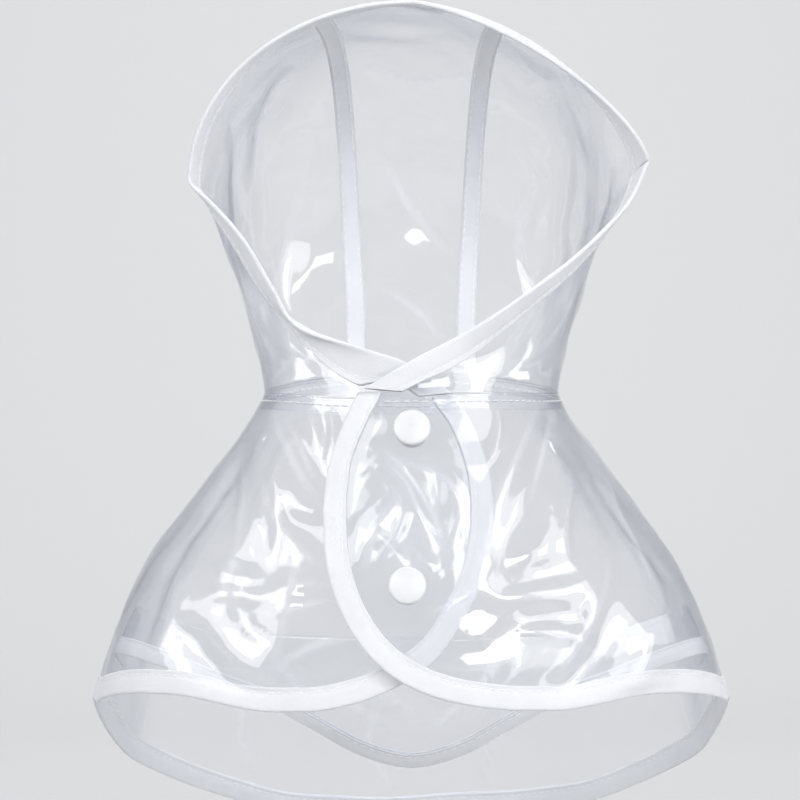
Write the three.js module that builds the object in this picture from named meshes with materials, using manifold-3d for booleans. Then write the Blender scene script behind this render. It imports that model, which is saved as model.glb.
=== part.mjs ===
// A hooded raincoat for a small pet, cut from clear film and edged all round in white folded tape.
// It has the form of a worn coat: neck seam level, front flaps snapped over each other, hood up and
// cape spread. Millimetres. +Z is up, the front faces -Y, and +X is the coat's own left side, which
// is on the right in a front view. The origin is the middle of the neck seam, where a neck carries it.
import * as THREE from "three";
import { mergeVertices } from "three/addons/utils/BufferGeometryUtils.js";
import Module from "manifold-3d";

const wasm = await Module();
wasm.setup();

// Driving sizes
const FILM = 1.0; // wall of the clear film
const TAPE = 1.0; // wall of one leg of the folded tape
const SEAM_GAP = 0.3; // between pieces that are sewn or laid on each other
const TAPE_WIDTH = 8; // finished width of the edge tape
const SEAM_TAPE_WIDTH = 7; // tape that covers each hood seam inside
const BELLY_TAPE_WIDTH = 6; // narrower tape on the belly panel
const FLAP_LIFT = 2.15; // how far each overlapping flap stands off the shared cape form
const NECK_TRIM = 0.45; // film cut back on each side of the neck seam
const TAPE_END_TRIM = 1.3; // and the edge tape there, because it is thicker
const HOOD_TRIM = 0.2; // film cut back on each side of a hood seam
const SEAM_TAPE_DEPTH = FILM / 2 + SEAM_GAP + TAPE / 2 + 0.1; // the tape's middle, inside the seam
const SEAM_TAPE_TILT = 0.4; // how far its long edges turn from the seam towards the panels
const GUSSET_HALF = 31; // half the width of the strip over the crown, at the opening
const GUSSET_NECK_HALF = 20; // half its width where it meets the neck seam
// To each side the front hem rises and falls back over these degrees, so that it sags under the flaps.
const FRONT_HEM_LIFT = { height: 5.3, from: 32, full: 54, fade: 58, to: 84 };
const SIDE_ROUNDING = 0.1; // how softly the side turns from the front's hem line into the back's
const FLAP_LIFT_FADE = { from: 28, to: 62 }; // degrees from the front over which the lift fades
const HOOD_LIFT_FADE = { from: 30, to: 60 }; // and heights over which it fades on the hood

// How finely the panels are cut up: stations along an edge, rows in from it, samples on a line
const EDGE_STEP = 8.5;
const CAPE_ROWS = 11;
const HOOD_ROWS = 11;
const BELLY_ROWS = 4;
const CAPE_SAMPLES = 60;
const HOOD_SAMPLES = 80;
const BELLY_SAMPLES = 30;
const HOOD_LEVELS = 48;
const EDGE_SAMPLES = 600;
const ROW_SPREAD = 1.05; // above 1, rows lie closer together near the edge
const LEAST_SLANT = 0.62; // a line may lean this much from square to the edge

// How far the film stops short of the outside of the tape that is folded round it
const EDGE_INSET = TAPE + SEAM_GAP;
const TAPE_OUT = FILM / 2 + SEAM_GAP + TAPE;

// Rings of the cape from the neck seam to the hem. side, front and back are how far each ring
// reaches, the Z columns are its heights there, and corner is how square it is (2 is an ellipse).
const CAPE_RINGS = [
  { drop: 0.0, side: 50.5, front: 46.5, back: 43, frontZ: -5, sideZ: -4, backZ: 3, corner: 2.0 },
  { drop: 0.1, side: 55, front: 50.5, back: 51, frontZ: -15, sideZ: -13, backZ: -11, corner: 2.0 },
  { drop: 0.25, side: 66, front: 56.5, back: 65, frontZ: -31, sideZ: -28, backZ: -33, corner: 2.05 },
  { drop: 0.42, side: 79.5, front: 62.5, back: 79, frontZ: -49, sideZ: -45, backZ: -60, corner: 2.1 },
  { drop: 0.6, side: 92.5, front: 68, back: 93, frontZ: -67, sideZ: -61, backZ: -91, corner: 2.2 },
  { drop: 0.8, side: 103.5, front: 72.5, back: 108, frontZ: -87, sideZ: -84, backZ: -128, corner: 2.35 },
  { drop: 1.0, side: 110.5, front: 76, back: 121, frontZ: -107, sideZ: -109, backZ: -165, corner: 2.45 },
];

// Soft folds of the cape. Angles run round from the front, positive on +X. Each fold runs from its
// top to its foot, is width degrees wide and stands out (or in, where depth is negative).
const FOLD_FADE = { in: 0.45, out: 0.85 }; // shares of a fold's length where it is full
const CAPE_FOLDS = [
  { topAngle: -74, topDrop: 0.06, footAngle: -27, footDrop: 0.42, width: 7, depth: 2.2 }, // right breast
  { topAngle: -72, topDrop: 0.12, footAngle: -46, footDrop: 0.62, width: 6, depth: -2.4 }, // right arm
  { topAngle: -32, topDrop: 0.5, footAngle: -37, footDrop: 0.95, width: 5, depth: 2.2 }, // right knee
  { topAngle: -58, topDrop: 0.72, footAngle: -40, footDrop: 0.97, width: 6, depth: -2.2 }, // right thigh
  { topAngle: -98, topDrop: 0.3, footAngle: -80, footDrop: 1.1, width: 8, depth: -3.2 }, // right flank
  { topAngle: 58, topDrop: 0.05, footAngle: 32, footDrop: 0.6, width: 8, depth: 2.6 }, // left breast
  { topAngle: 50, topDrop: 0.6, footAngle: 35, footDrop: 0.98, width: 5, depth: -2.4 }, // left knee
  { topAngle: 66, topDrop: 0.7, footAngle: 47, footDrop: 1.0, width: 5, depth: 2.2 }, // left thigh
  { topAngle: 92, topDrop: 0.35, footAngle: 82, footDrop: 1.1, width: 8, depth: -3.0 }, // left flank
  { topAngle: 118, topDrop: 0.25, footAngle: 126, footDrop: 1.15, width: 9, depth: 4.2 }, // left haunch
  { topAngle: 140, topDrop: 0.35, footAngle: 147, footDrop: 1.15, width: 8, depth: -4.0 }, // left back
  { topAngle: 176, topDrop: 0.2, footAngle: 172, footDrop: 1.15, width: 10, depth: 4.0 }, // spine
  { topAngle: -152, topDrop: 0.4, footAngle: -158, footDrop: 1.15, width: 8, depth: -3.6 }, // right back
  { topAngle: -122, topDrop: 0.3, footAngle: -130, footDrop: 1.15, width: 9, depth: 4.4 }, // right haunch
];

// The free edge of each front flap: at height z, how far it reaches past the middle.
// over is the flap on top, which belongs to the +X side, and under is the one beneath.
const FLAP_EDGE = [
  { z: -15, over: 22, under: 21.5 }, // breast
  { z: -28.5, over: 26.7, under: 26 }, // upper
  { z: -43, over: 28.4, under: 27.4 }, // widest
  { z: -62, over: 27.4, under: 24.6 }, // belly
  { z: -78, over: 22, under: 17 }, // turn
  { z: -90.5, over: 13.2, under: 8 }, // lower
  { z: -98.7, over: 2.6, under: -3.8 }, // crossing
  { z: -104.2, over: -11.5, under: -17 }, // foot
];
const FLAP_NECK_REACH = { over: 17.5, under: 15.5 }; // past the middle at the neck seam
const FLAP_NECK_FRONT = 43.8; // how far forward of the middle that point lies
const FLAP_HEM_START = 32; // where the flap's curve has become the straight hem
const FLAP_HEM_FRONT = 74; // and how far forward that point lies
const HEM_POINTS = 12; // on the straight hem, from there round to the middle of the back
const FLAP_SHORT_SEAM = 30; // degrees of neck seam that the flap's first station lies along
const FAN_ANGLE = 66; // from here round to the back, lines run straight up from the hem
const FAN_POWER = 1.35; // above 1, the fanned lines meet the neck seam closer together at the flap

// The lower edge of the hood's face opening, from the throat out to its corner, on each side.
const FACE_EDGE = [
  { rightOut: 0, rightZ: 6, leftOut: 0, leftZ: 6, y: -45.5 }, // chin
  { rightOut: 20, rightZ: 12.5, leftOut: 20, leftZ: 17, y: -42.5 }, // jaw
  { rightOut: 38.5, rightZ: 18, leftOut: 44, leftZ: 33.5, y: -36 }, // cheek
  { rightOut: 47, rightZ: 32, leftOut: 54, leftZ: 41, y: -32 }, // ear
  { rightOut: 56, rightZ: 47, leftOut: 64, leftZ: 50, y: -28 }, // lobe
  { rightOut: 66.5, rightZ: 59, leftOut: 74, leftZ: 61, y: -25 }, // flare
  { rightOut: 75.5, rightZ: 67, leftOut: 80.5, leftZ: 74.5, y: -22 }, // corner
];
const FACE_FOOT = { right: -20, left: -21.8 }; // degrees from the front where it meets the neck seam

// Ribs of the hood from its face opening to the nape. Each rib starts at a foot on the neck seam,
// rises by a curve with two handles (low and high) to its widest point (reach), and arches over to
// the crown. round is how full that arch is (2 is an ellipse).
const FACE_ARCH = {
  right: { reach: 75.5, reachZ: 67, reachY: -22, crownZ: 127, crownY: -34, round: 2.0 },
  left: { reach: 80.5, reachZ: 74.5, reachY: -22, crownZ: 127, crownY: -34, round: 1.4 },
};
const HOOD_RIBS = [
  { // brow
    foot: 14, lowOut: 34, lowZ: 16, highOut: 62, highZ: 30,
    reach: 70, reachZ: 64, reachY: -8, crownZ: 127, crownY: -20, round: 2.0,
  },
  { // temple
    foot: 38, lowOut: 46, lowZ: 18, highOut: 63, highZ: 28,
    reach: 66, reachZ: 60, reachY: 6, crownZ: 125, crownY: -4, round: 2.05,
  },
  { // ear
    foot: 60, lowOut: 52, lowZ: 16, highOut: 62, highZ: 26,
    reach: 63, reachZ: 56, reachY: 22, crownZ: 120, crownY: 16, round: 2.1,
  },
  { // crown
    foot: 80, lowOut: 53, lowZ: 14, highOut: 59, highZ: 22,
    reach: 59, reachZ: 50, reachY: 36, crownZ: 109, crownY: 36, round: 2.15,
  },
  { // back
    foot: 97, lowOut: 50, lowZ: 11, highOut: 53, highZ: 18,
    reach: 52, reachZ: 40, reachY: 48, crownZ: 87, crownY: 55, round: 2.2,
  },
  { // poll
    foot: 112, lowOut: 45, lowZ: 8, highOut: 46, highZ: 13,
    reach: 44, reachZ: 27, reachY: 53, crownZ: 55, crownY: 63, round: 2.3,
  },
  { // nape
    foot: 122, lowOut: 40, lowZ: 5, highOut: 39, highZ: 9,
    reach: 36, reachZ: 15, reachY: 48, crownZ: 26, crownY: 55, round: 2.4,
  },
];
const HANDLE_SHARES = { low: 0.33, high: 0.75 }; // how far back each handle lies, from foot to reach
const HOOD_LAST_FOOT = 126; // degrees round the neck seam where a side panel's last station starts
const HOOD_SHORT_SEAM = 26; // degrees of neck seam that the first station lies along, at the throat
const NAPE_BACK = 39.5; // how far back of the middle the gusset's corners lie on the neck seam
const END_POWER = 1.1; // above 1, a side's lines meet the neck seam closer together at the throat
const LAST_BEND = 4.5; // how late the last line of a side leaves the gusset seam for the neck seam
const BEND_POWER = 1.5;
const SEAM_PULL = 4; // how quickly the neck seam's own line stops pulling on the side above it
const HOOD_SIDE_LINES = 21; // stations on one side of the face opening
const LOWER_SHARE = 0.58; // the share of them below the opening's corner
const WIDEST_GUSSET = 0.98; // the most of a rib's reach that half the gusset may take
const GUSSET_LINES = 8;

// The belly panel: a clear apron behind the front hem, lapped on the inside of the cape at each side.
const BELLY = { reach: 84, y: -30, midY: -31, sideY: 6, topZ: -86, midZ: -98, lowZ: -102 };
const BELLY_DIP = { depth: 29, width: 44, tuck: 9, midShare: 0.55 }; // of the lower edge, in the middle
const BELLY_SHARES = [-0.8, -0.6, -0.4, -0.2, 0, 0.2, 0.4, 0.6, 0.8]; // of its reach, to each side
const BELLY_LAP = { fromAngle: 104, toAngle: 96, topDrop: 0.72, lowDrop: 0.86 };
const BELLY_LAP_DEPTH = FILM + SEAM_GAP + 2 * TAPE; // the tape lies between it and the cape
const BELLY_LINES = 26;

// Plastic snaps: a domed cap outside, a socket and a stud between the flaps, a low cap inside.
const SNAPS = [
  { name: "upper", x: 0, z: -16.5 },
  { name: "lower", x: -1.5, z: -67.5 },
];
const CAP = { radius: 6.2, height: 2.2 };
const BACK_CAP = { radius: 5.2, height: 1.5 };
const DISC_RADIUS = 4.8;
const PIN_RADIUS = 0.9;
const RIM_HEIGHT = 0.6; // the straight side of a cap, below its dome
const DOME_ANGLES = [25, 50, 72];
const DISC_PARTING = 0.15; // half the gap between socket and stud
const PIN_PARTING = 0.25; // half the gap between the pins' ends
const BACK_CLEARANCE = 0.15; // more room under the inner cap, where the film is curved
const HOLE_LENGTH = 12; // cuts through both flaps
const SNAP_SIDES = 20;

const degrees = THREE.MathUtils.degToRad;
const inDegrees = THREE.MathUtils.radToDeg;
const lerp = THREE.MathUtils.lerp;
const clamp = THREE.MathUtils.clamp;
const smooth = (value, from, to) => THREE.MathUtils.smoothstep(value, from, to);

// A smooth value through the rows of a table, read at one of its columns.
function through(rows, key, at, value) {
  let k = 0;
  while (k < rows.length - 2 && value > rows[k + 1][at]) k += 1;
  const near = (n) => rows[clamp(n, 0, rows.length - 1)];
  const [before, start, end, after] = [near(k - 1), near(k), near(k + 1), near(k + 2)];
  const span = end[at] - start[at];
  const slope = (a, b) => ((b[key] - a[key]) / (b[at] - a[at])) * span;
  const m0 = before === start ? slope(start, end) : slope(before, end);
  const m1 = after === end ? slope(start, end) : slope(start, after);
  const t = (value - start[at]) / span;
  const t2 = t * t;
  const t3 = t2 * t;
  const rise = 3 * t2 - 2 * t3;
  return lerp(start[key], end[key], rise) + (t3 - 2 * t2 + t) * m0 + (t3 - t2) * m1;
}

// The cape's form without folds: angle in degrees from the front, drop from 0 (neck) to 1 (hem).
function capeForm(angle, drop) {
  const turn = degrees(angle);
  const read = (key) => through(CAPE_RINGS, key, "drop", drop);
  const sine = Math.abs(Math.sin(turn));
  const cosine = Math.abs(Math.cos(turn));
  const isFront = Math.cos(turn) >= 0;
  const power = read("corner");
  const depth = isFront ? read("front") : read("back");
  const radius = ((sine / read("side")) ** power + (cosine / depth) ** power) ** (-1 / power);
  const sideZ = read("sideZ");
  const { height, from, full, fade, to } = FRONT_HEM_LIFT;
  const aside = Math.abs(((angle + 540) % 360) - 180);
  const hemLift = height * drop ** 2 * smooth(aside, from, full) * (1 - smooth(aside, fade, to));
  const frontZ = lerp(read("frontZ"), sideZ, sine * sine) + hemLift;
  const turned = (value) => Math.hypot(value, SIDE_ROUNDING) - SIDE_ROUNDING;
  const backZ = lerp(sideZ, read("backZ"), turned(cosine) / turned(1));
  return new THREE.Vector3(radius * Math.sin(turn), -radius * Math.cos(turn), isFront ? frontZ : backZ);
}

// Which way the cape faces there.
function capeFacing(angle, drop) {
  const round = capeForm(angle + 1, drop).sub(capeForm(angle - 1, drop));
  const down = capeForm(angle, drop + 0.01).sub(capeForm(angle, drop - 0.01));
  return down.cross(round).normalize();
}

function foldDepth(angle, drop) {
  let depth = 0;
  for (const fold of CAPE_FOLDS) {
    const along = (drop - fold.topDrop) / (fold.footDrop - fold.topDrop);
    if (along <= 0 || along >= 1) continue;
    const centre = lerp(fold.topAngle, fold.footAngle, along);
    const away = ((angle - centre + 540) % 360) - 180;
    const taper = smooth(along, 0, FOLD_FADE.in) * (1 - smooth(along, FOLD_FADE.out, 1));
    depth += fold.depth * Math.exp(-((away / fold.width) ** 2)) * taper;
  }
  return depth;
}

// The cape's surface. round runs from the over flap's edge (below 0) by the back (180) to the
// under flap's edge (above 360), so the two flaps have their own layers in front.
function capePoint(round, drop) {
  const fromFront = round < 180 ? round : 360 - round;
  const fade = 1 - smooth(fromFront, FLAP_LIFT_FADE.from, FLAP_LIFT_FADE.to);
  const lift = (round < 180 ? 1 : -1) * FLAP_LIFT * fade;
  const folds = foldDepth(round > 180 ? round - 360 : round, drop);
  return capeForm(round, drop).addScaledVector(capeFacing(round, drop), lift + folds);
}

// Angle and drop of the point of the cape's front at a given x and z, by Newton's steps from a
// first guess on a plain cylinder.
function placeOnFront(x, z) {
  const guess = { front: 65, height: 108, steps: 12 };
  let angle = inDegrees(Math.atan2(x, guess.front));
  let drop = -z / guess.height;
  for (let k = 0; k < guess.steps; k += 1) {
    const here = capeForm(angle, drop);
    const byAngle = capeForm(angle + 0.5, drop).sub(here).multiplyScalar(2);
    const byDrop = capeForm(angle, drop - 0.01).sub(here).multiplyScalar(-100);
    const scale = byAngle.x * byDrop.z - byAngle.z * byDrop.x;
    const dx = x - here.x;
    const dz = z - here.z;
    angle += (dx * byDrop.z - dz * byDrop.x) / scale;
    drop = clamp(drop + (dz * byAngle.x - dx * byAngle.z) / scale, 0, 1);
  }
  return new THREE.Vector2(angle, drop);
}

// The outer edge of one half of the cape in angle and drop, from the neck down and round to the
// back. Drops are in hundredths while the curve is made, so that both its axes are of like size.
function halfEdge(flap) {
  const sign = flap === "over" ? 1 : -1;
  const neckAngle = -inDegrees(Math.atan2(FLAP_NECK_REACH[flap], FLAP_NECK_FRONT));
  const places = [new THREE.Vector3(neckAngle, 0, 0)];
  for (const row of FLAP_EDGE) {
    const place = placeOnFront(-sign * row[flap], row.z);
    places.push(new THREE.Vector3(sign * place.x, place.y * 100, 0));
  }
  const hemAngle = inDegrees(Math.atan2(FLAP_HEM_START, FLAP_HEM_FRONT));
  for (let n = 0; n <= HEM_POINTS; n += 1) {
    places.push(new THREE.Vector3(lerp(hemAngle, 180, n / HEM_POINTS), 100, 0));
  }
  const curve = new THREE.CatmullRomCurve3(places, false, "centripetal");
  return curve.getPoints(EDGE_SAMPLES).map((p) => new THREE.Vector2(p.x, clamp(p.y / 100, 0, 1)));
}

// Places along a list of places, an even distance apart on the cape.
function evenly(places, toPoint, step) {
  const points = places.map(toPoint);
  const reached = [0];
  for (let k = 1; k < points.length; k += 1) {
    reached.push(reached[k - 1] + points[k].distanceTo(points[k - 1]));
  }
  const total = reached.at(-1);
  const count = Math.round(total / step);
  const result = [];
  let k = 0;
  for (let n = 0; n <= count; n += 1) {
    const want = (total * n) / count;
    while (k < points.length - 2 && reached[k + 1] < want) k += 1;
    const share = clamp((want - reached[k]) / (reached[k + 1] - reached[k]), 0, 1);
    result.push(places[k].clone().lerp(places[k + 1], share));
  }
  return result;
}

// One half of the cape as lines from its outer edge up to the neck seam, as points on the cape.
function capeHalfLines(flap) {
  const toRound = (angle) => (flap === "over" ? angle : 360 - angle);
  const onCape = (place) => capePoint(toRound(place.x), place.y);
  const edge = evenly(halfEdge(flap), onCape, EDGE_STEP);
  const free = edge.findIndex((place) => place.x > FAN_ANGLE);
  const neckStart = edge[0].x + FLAP_SHORT_SEAM;
  return edge.map((place, n) => {
    const share = Math.min(1, n / free);
    const neckAngle = n >= free ? place.x : lerp(neckStart, edge[free].x, share ** FAN_POWER);
    const line = [];
    for (let k = 0; k <= CAPE_SAMPLES; k += 1) {
      const t = k / CAPE_SAMPLES;
      line.push(onCape(new THREE.Vector2(lerp(place.x, neckAngle, t), lerp(place.y, 0, t))));
    }
    return line;
  });
}

// A point on a line of points, a distance along it.
function pointAlong(line, distance) {
  let left = distance;
  for (let k = 1; k < line.length; k += 1) {
    const step = line[k].distanceTo(line[k - 1]);
    if (left <= step || k === line.length - 1) {
      return line[k - 1].clone().lerp(line[k], step > 0 ? left / step : 0);
    }
    left -= step;
  }
  return line.at(-1).clone();
}

function lengthOf(line) {
  let total = 0;
  for (let k = 1; k < line.length; k += 1) {
    total += line[k].distanceTo(line[k - 1]);
  }
  return total;
}

// A grid of points on a panel: one row for each line from its edge inwards. The first column is
// where the film ends inside the tape, the second is the tape's inner edge.
function panelGrid(lines, rows, tapeWidth) {
  return lines.map((line, i) => {
    const before = lines[Math.max(i - 1, 0)][0];
    const after = lines[Math.min(i + 1, lines.length - 1)][0];
    const tangent = after.clone().sub(before).normalize();
    const inward = pointAlong(line, tapeWidth / 2).sub(line[0]).normalize();
    const slant = Math.max(LEAST_SLANT, tangent.cross(inward).length());
    const total = lengthOf(line);
    const start = tapeWidth / slant;
    const distances = [EDGE_INSET / slant];
    for (let k = 0; k < rows; k += 1) {
      distances.push(lerp(start, total, (k / (rows - 1)) ** ROW_SPREAD));
    }
    return distances.map((distance) => pointAlong(line, distance));
  });
}

// Moves one border of a grid towards its neighbours. border is "first", "last" or "inner".
function trim(grid, border, amount) {
  const move = (point, towards) => point.clone().add(towards.clone().sub(point).setLength(amount));
  const result = grid.map((line) => line.slice());
  const last = grid.length - 1;
  if (border === "first") result[0] = grid[0].map((point, j) => move(point, grid[1][j]));
  if (border === "last") result[last] = grid[last].map((point, j) => move(point, grid[last - 1][j]));
  if (border === "inner") {
    grid.forEach((line, i) => {
      result[i][line.length - 1] = move(line.at(-1), line.at(-2));
    });
  }
  return result;
}

// True where the cell of the grid is split from its own corner to the far one.
function splitsForward(grid, i, j) {
  return grid[i][j].distanceTo(grid[i + 1][j + 1]) < grid[i + 1][j].distanceTo(grid[i][j + 1]);
}

// The two triangles of a grid cell, as pairs of steps from its corner.
function cellTriangles(forward) {
  return forward
    ? [[[0, 0], [1, 0], [1, 1]], [[0, 0], [1, 1], [0, 1]]]
    : [[[0, 0], [1, 0], [0, 1]], [[1, 0], [1, 1], [0, 1]]];
}

function gridNormals(grid) {
  const normals = grid.map((line) => line.map(() => new THREE.Vector3()));
  for (let i = 0; i < grid.length - 1; i += 1) {
    for (let j = 0; j < grid[0].length - 1; j += 1) {
      for (const corners of cellTriangles(splitsForward(grid, i, j))) {
        const [a, b, c] = corners.map(([di, dj]) => grid[i + di][j + dj]);
        const facing = b.clone().sub(a).cross(c.clone().sub(a));
        for (const [di, dj] of corners) {
          normals[i + di][j + dj].add(facing);
        }
      }
    }
  }
  return normals.map((line) => line.map((normal) => normal.normalize()));
}

// A closed geometry from points and triangles, turned so that its faces point out.
function closedGeometry(points, triangles) {
  let volume = 0;
  for (const [a, b, c] of triangles) {
    volume += points[a].dot(points[b].clone().cross(points[c]));
  }
  const index = triangles.flatMap(([a, b, c]) => (volume > 0 ? [a, b, c] : [a, c, b]));
  const geometry = new THREE.BufferGeometry().setFromPoints(points);
  geometry.setIndex(index);
  return geometry;
}

// A cloth wall round a grid of points. offset moves it off the grid along the normals.
function wall(grid, normals, thickness, offset = 0) {
  const across = grid[0].length;
  const count = grid.length * across;
  const points = [];
  for (const side of [0.5, -0.5]) {
    grid.forEach((line, i) => {
      line.forEach((point, j) => {
        points.push(point.clone().addScaledVector(normals[i][j], offset + side * thickness));
      });
    });
  }
  const at = (i, j) => i * across + j;
  const triangles = [];
  for (let i = 0; i < grid.length - 1; i += 1) {
    for (let j = 0; j < across - 1; j += 1) {
      for (const corners of cellTriangles(splitsForward(grid, i, j))) {
        const [a, b, c] = corners.map(([di, dj]) => at(i + di, j + dj));
        triangles.push([a, b, c], [c + count, b + count, a + count]);
      }
    }
  }
  const rim = [];
  for (let i = 0; i < grid.length - 1; i += 1) {
    rim.push(at(i, 0));
  }
  for (let j = 0; j < across - 1; j += 1) {
    rim.push(at(grid.length - 1, j));
  }
  for (let i = grid.length - 1; i > 0; i -= 1) {
    rim.push(at(i, across - 1));
  }
  for (let j = across - 1; j > 0; j -= 1) {
    rim.push(at(0, j));
  }
  rim.forEach((a, k) => {
    const b = rim[(k + 1) % rim.length];
    triangles.push([b, a, a + count], [b, a + count, b + count]);
  });
  return closedGeometry(points, triangles);
}

// Tape folded round the edge of a panel, made from the panel's own first two columns moved out.
function foldedTape(grid, normals) {
  const points = [];
  const inside = FILM / 2 + SEAM_GAP;
  grid.forEach((line, i) => {
    const [edge, inner] = line;
    const outward = edge.clone().sub(inner).normalize();
    const place = (base, normal, out, up) => {
      return base.clone().addScaledVector(outward, out).addScaledVector(normal, up);
    };
    points.push(
      place(inner, normals[i][1], 0, TAPE_OUT),
      place(edge, normals[i][0], EDGE_INSET, TAPE_OUT),
      place(edge, normals[i][0], EDGE_INSET, -TAPE_OUT),
      place(inner, normals[i][1], 0, -TAPE_OUT),
      place(inner, normals[i][1], 0, -inside),
      place(edge, normals[i][0], SEAM_GAP, -inside),
      place(edge, normals[i][0], SEAM_GAP, inside),
      place(inner, normals[i][1], 0, inside),
    );
  });
  const corners = 8;
  const triangles = [];
  for (let i = 0; i < grid.length - 1; i += 1) {
    const forward = splitsForward(grid, i, 0);
    for (let c = 0; c < corners; c += 1) {
      const next = (c + 1) % corners;
      const [a, b] = [i * corners + c, i * corners + next];
      const [d, e] = [a + corners, b + corners];
      const leansForward = c === 0 || c === 4 ? !forward : forward;
      if (leansForward) {
        triangles.push([a, b, e], [a, e, d]);
      } else {
        triangles.push([a, b, d], [b, e, d]);
      }
    }
  }
  const cap = [[0, 7, 6], [0, 6, 1], [1, 6, 5], [1, 5, 2], [2, 5, 4], [2, 4, 3]];
  const end = (grid.length - 1) * corners;
  for (const [a, b, c] of cap) {
    triangles.push([a, b, c], [end + a, end + c, end + b]);
  }
  return closedGeometry(points, triangles);
}

function toSolid(geometry) {
  const bare = geometry.clone();
  bare.deleteAttribute("normal");
  bare.deleteAttribute("uv");
  const merged = mergeVertices(bare, 1e-4);
  return new wasm.Manifold(new wasm.Mesh({
    numProp: 3,
    vertProperties: new Float32Array(merged.attributes.position.array),
    triVerts: new Uint32Array(merged.index.array),
  }));
}

function toGeometry(solid) {
  const mesh = solid.getMesh();
  const geometry = new THREE.BufferGeometry();
  geometry.setAttribute("position", new THREE.BufferAttribute(mesh.vertProperties, 3));
  geometry.setIndex(new THREE.BufferAttribute(mesh.triVerts, 1));
  return geometry;
}

const coat = new THREE.Group();

const FINISHES = {
  film: { color: 0xe4ebf2, roughness: 0.08, metalness: 0 },
  tape: { color: 0xf4f5f7, roughness: 0.85, metalness: 0 },
  snap: { color: 0xfafafa, roughness: 0.3, metalness: 0 },
};

function addPiece(name, geometry, finish) {
  const piece = new THREE.Mesh(geometry, new THREE.MeshStandardMaterial(FINISHES[finish]));
  piece.name = name;
  coat.add(piece);
  return piece;
}

// The cape, one piece of film from flap to flap, and the tape round its edge
const capeLines = [...capeHalfLines("over").slice(0, -1), ...capeHalfLines("under").reverse()];
const capeGrid = panelGrid(capeLines, CAPE_ROWS, TAPE_WIDTH);
const capeNormals = gridNormals(capeGrid);
const trimEnds = (grid, amount) => trim(trim(grid, "first", amount), "last", amount);
const capeWall = toSolid(wall(trim(trimEnds(capeGrid, NECK_TRIM), "inner", NECK_TRIM), capeNormals, FILM));
addPiece("hem_tape", foldedTape(trimEnds(capeGrid, TAPE_END_TRIM), capeNormals), "tape");

// The snaps stand square to the front, and their pins pass through small holes in both flaps
const turnOnPin = new THREE.Vector3(0, 1, 0);
const heights = {
  overOutside: FLAP_LIFT + FILM / 2 + SEAM_GAP,
  overInside: FLAP_LIFT - FILM / 2 - SEAM_GAP,
  backOutside: -(FLAP_LIFT + FILM / 2 + SEAM_GAP) - BACK_CLEARANCE,
};

function lathe(profile) {
  return new THREE.LatheGeometry(profile.map(([r, z]) => new THREE.Vector2(r, z)), SNAP_SIDES);
}

// The profile of a domed cap with its pin. rise is 1 where the dome faces out and -1 where it
// faces in, and a lathe wants the profile of that one the other way round.
function domeProfile(cap, base, rise) {
  const rim = base + rise * RIM_HEIGHT;
  const top = base + rise * cap.height;
  const pinEnd = rise * PIN_PARTING;
  const pin = [[0, pinEnd], [PIN_RADIUS, pinEnd], [PIN_RADIUS, base]];
  const profile = [...pin, [cap.radius, base], [cap.radius, rim]];
  for (const angle of DOME_ANGLES) {
    const turn = degrees(angle);
    profile.push([cap.radius * Math.sqrt(Math.cos(turn)), lerp(rim, top, Math.sin(turn))]);
  }
  profile.push([0, top]);
  return rise > 0 ? profile : profile.reverse();
}

function discProfile(low, high) {
  const bore = PIN_RADIUS + SEAM_GAP;
  return [[bore, low], [DISC_RADIUS, low], [DISC_RADIUS, high], [bore, high], [bore, low]];
}

let capeSolid = capeWall;
for (const snap of SNAPS) {
  const place = placeOnFront(snap.x, snap.z);
  const centre = capeForm(place.x, place.y);
  const facing = capeFacing(place.x, place.y);
  const turn = new THREE.Quaternion().setFromUnitVectors(turnOnPin, facing);
  const frame = new THREE.Matrix4().compose(centre, turn, new THREE.Vector3(1, 1, 1));
  const pieces = {
    cap: domeProfile(CAP, heights.overOutside, 1),
    socket: discProfile(DISC_PARTING, heights.overInside),
    stud: discProfile(-heights.overInside, -DISC_PARTING),
    back_cap: domeProfile(BACK_CAP, heights.backOutside, -1),
  };
  for (const [name, profile] of Object.entries(pieces)) {
    const geometry = toGeometry(toSolid(lathe(profile)));
    addPiece(`snap_${snap.name}_${name}`, geometry.applyMatrix4(frame), "snap");
  }
  const bore = PIN_RADIUS + SEAM_GAP;
  const hole = new THREE.CylinderGeometry(bore, bore, HOLE_LENGTH, SNAP_SIDES);
  capeSolid = capeSolid.subtract(toSolid(hole.applyMatrix4(frame)));
}
addPiece("cape", toGeometry(capeSolid), "film");

// A point on one side of a hood rib. climb runs from 0 at the foot to 1 at the widest point, and to
// 2 at the middle of the crown.
function ribPoint(rib, sign, climb) {
  if (climb <= 1) return rib.lower(sign).getPointAt(climb);
  const arch = degrees(90 * (climb - 1));
  const power = 2 / rib.round;
  return new THREE.Vector3(
    sign * rib.reach * Math.max(0, Math.cos(arch)) ** power,
    lerp(rib.reachY, rib.crownY, Math.sin(arch)),
    lerp(rib.reachZ, rib.crownZ, Math.sin(arch) ** power),
  );
}

function faceEdge(side, sign) {
  const points = [capeForm(sign * FACE_FOOT[side], 0)];
  for (const row of FACE_EDGE) {
    points.push(new THREE.Vector3(sign * row[side + "Out"], row.y, row[side + "Z"]));
  }
  return new THREE.CatmullRomCurve3(points, false, "centripetal");
}

function cheekCurve(rib, sign) {
  const foot = capeForm(sign * rib.foot, 0);
  return new THREE.CubicBezierCurve3(
    foot,
    new THREE.Vector3(sign * rib.lowOut, lerp(foot.y, rib.reachY, HANDLE_SHARES.low), rib.lowZ),
    new THREE.Vector3(sign * rib.highOut, lerp(foot.y, rib.reachY, HANDLE_SHARES.high), rib.highZ),
    new THREE.Vector3(sign * rib.reach, rib.reachY, rib.reachZ),
  );
}

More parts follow.
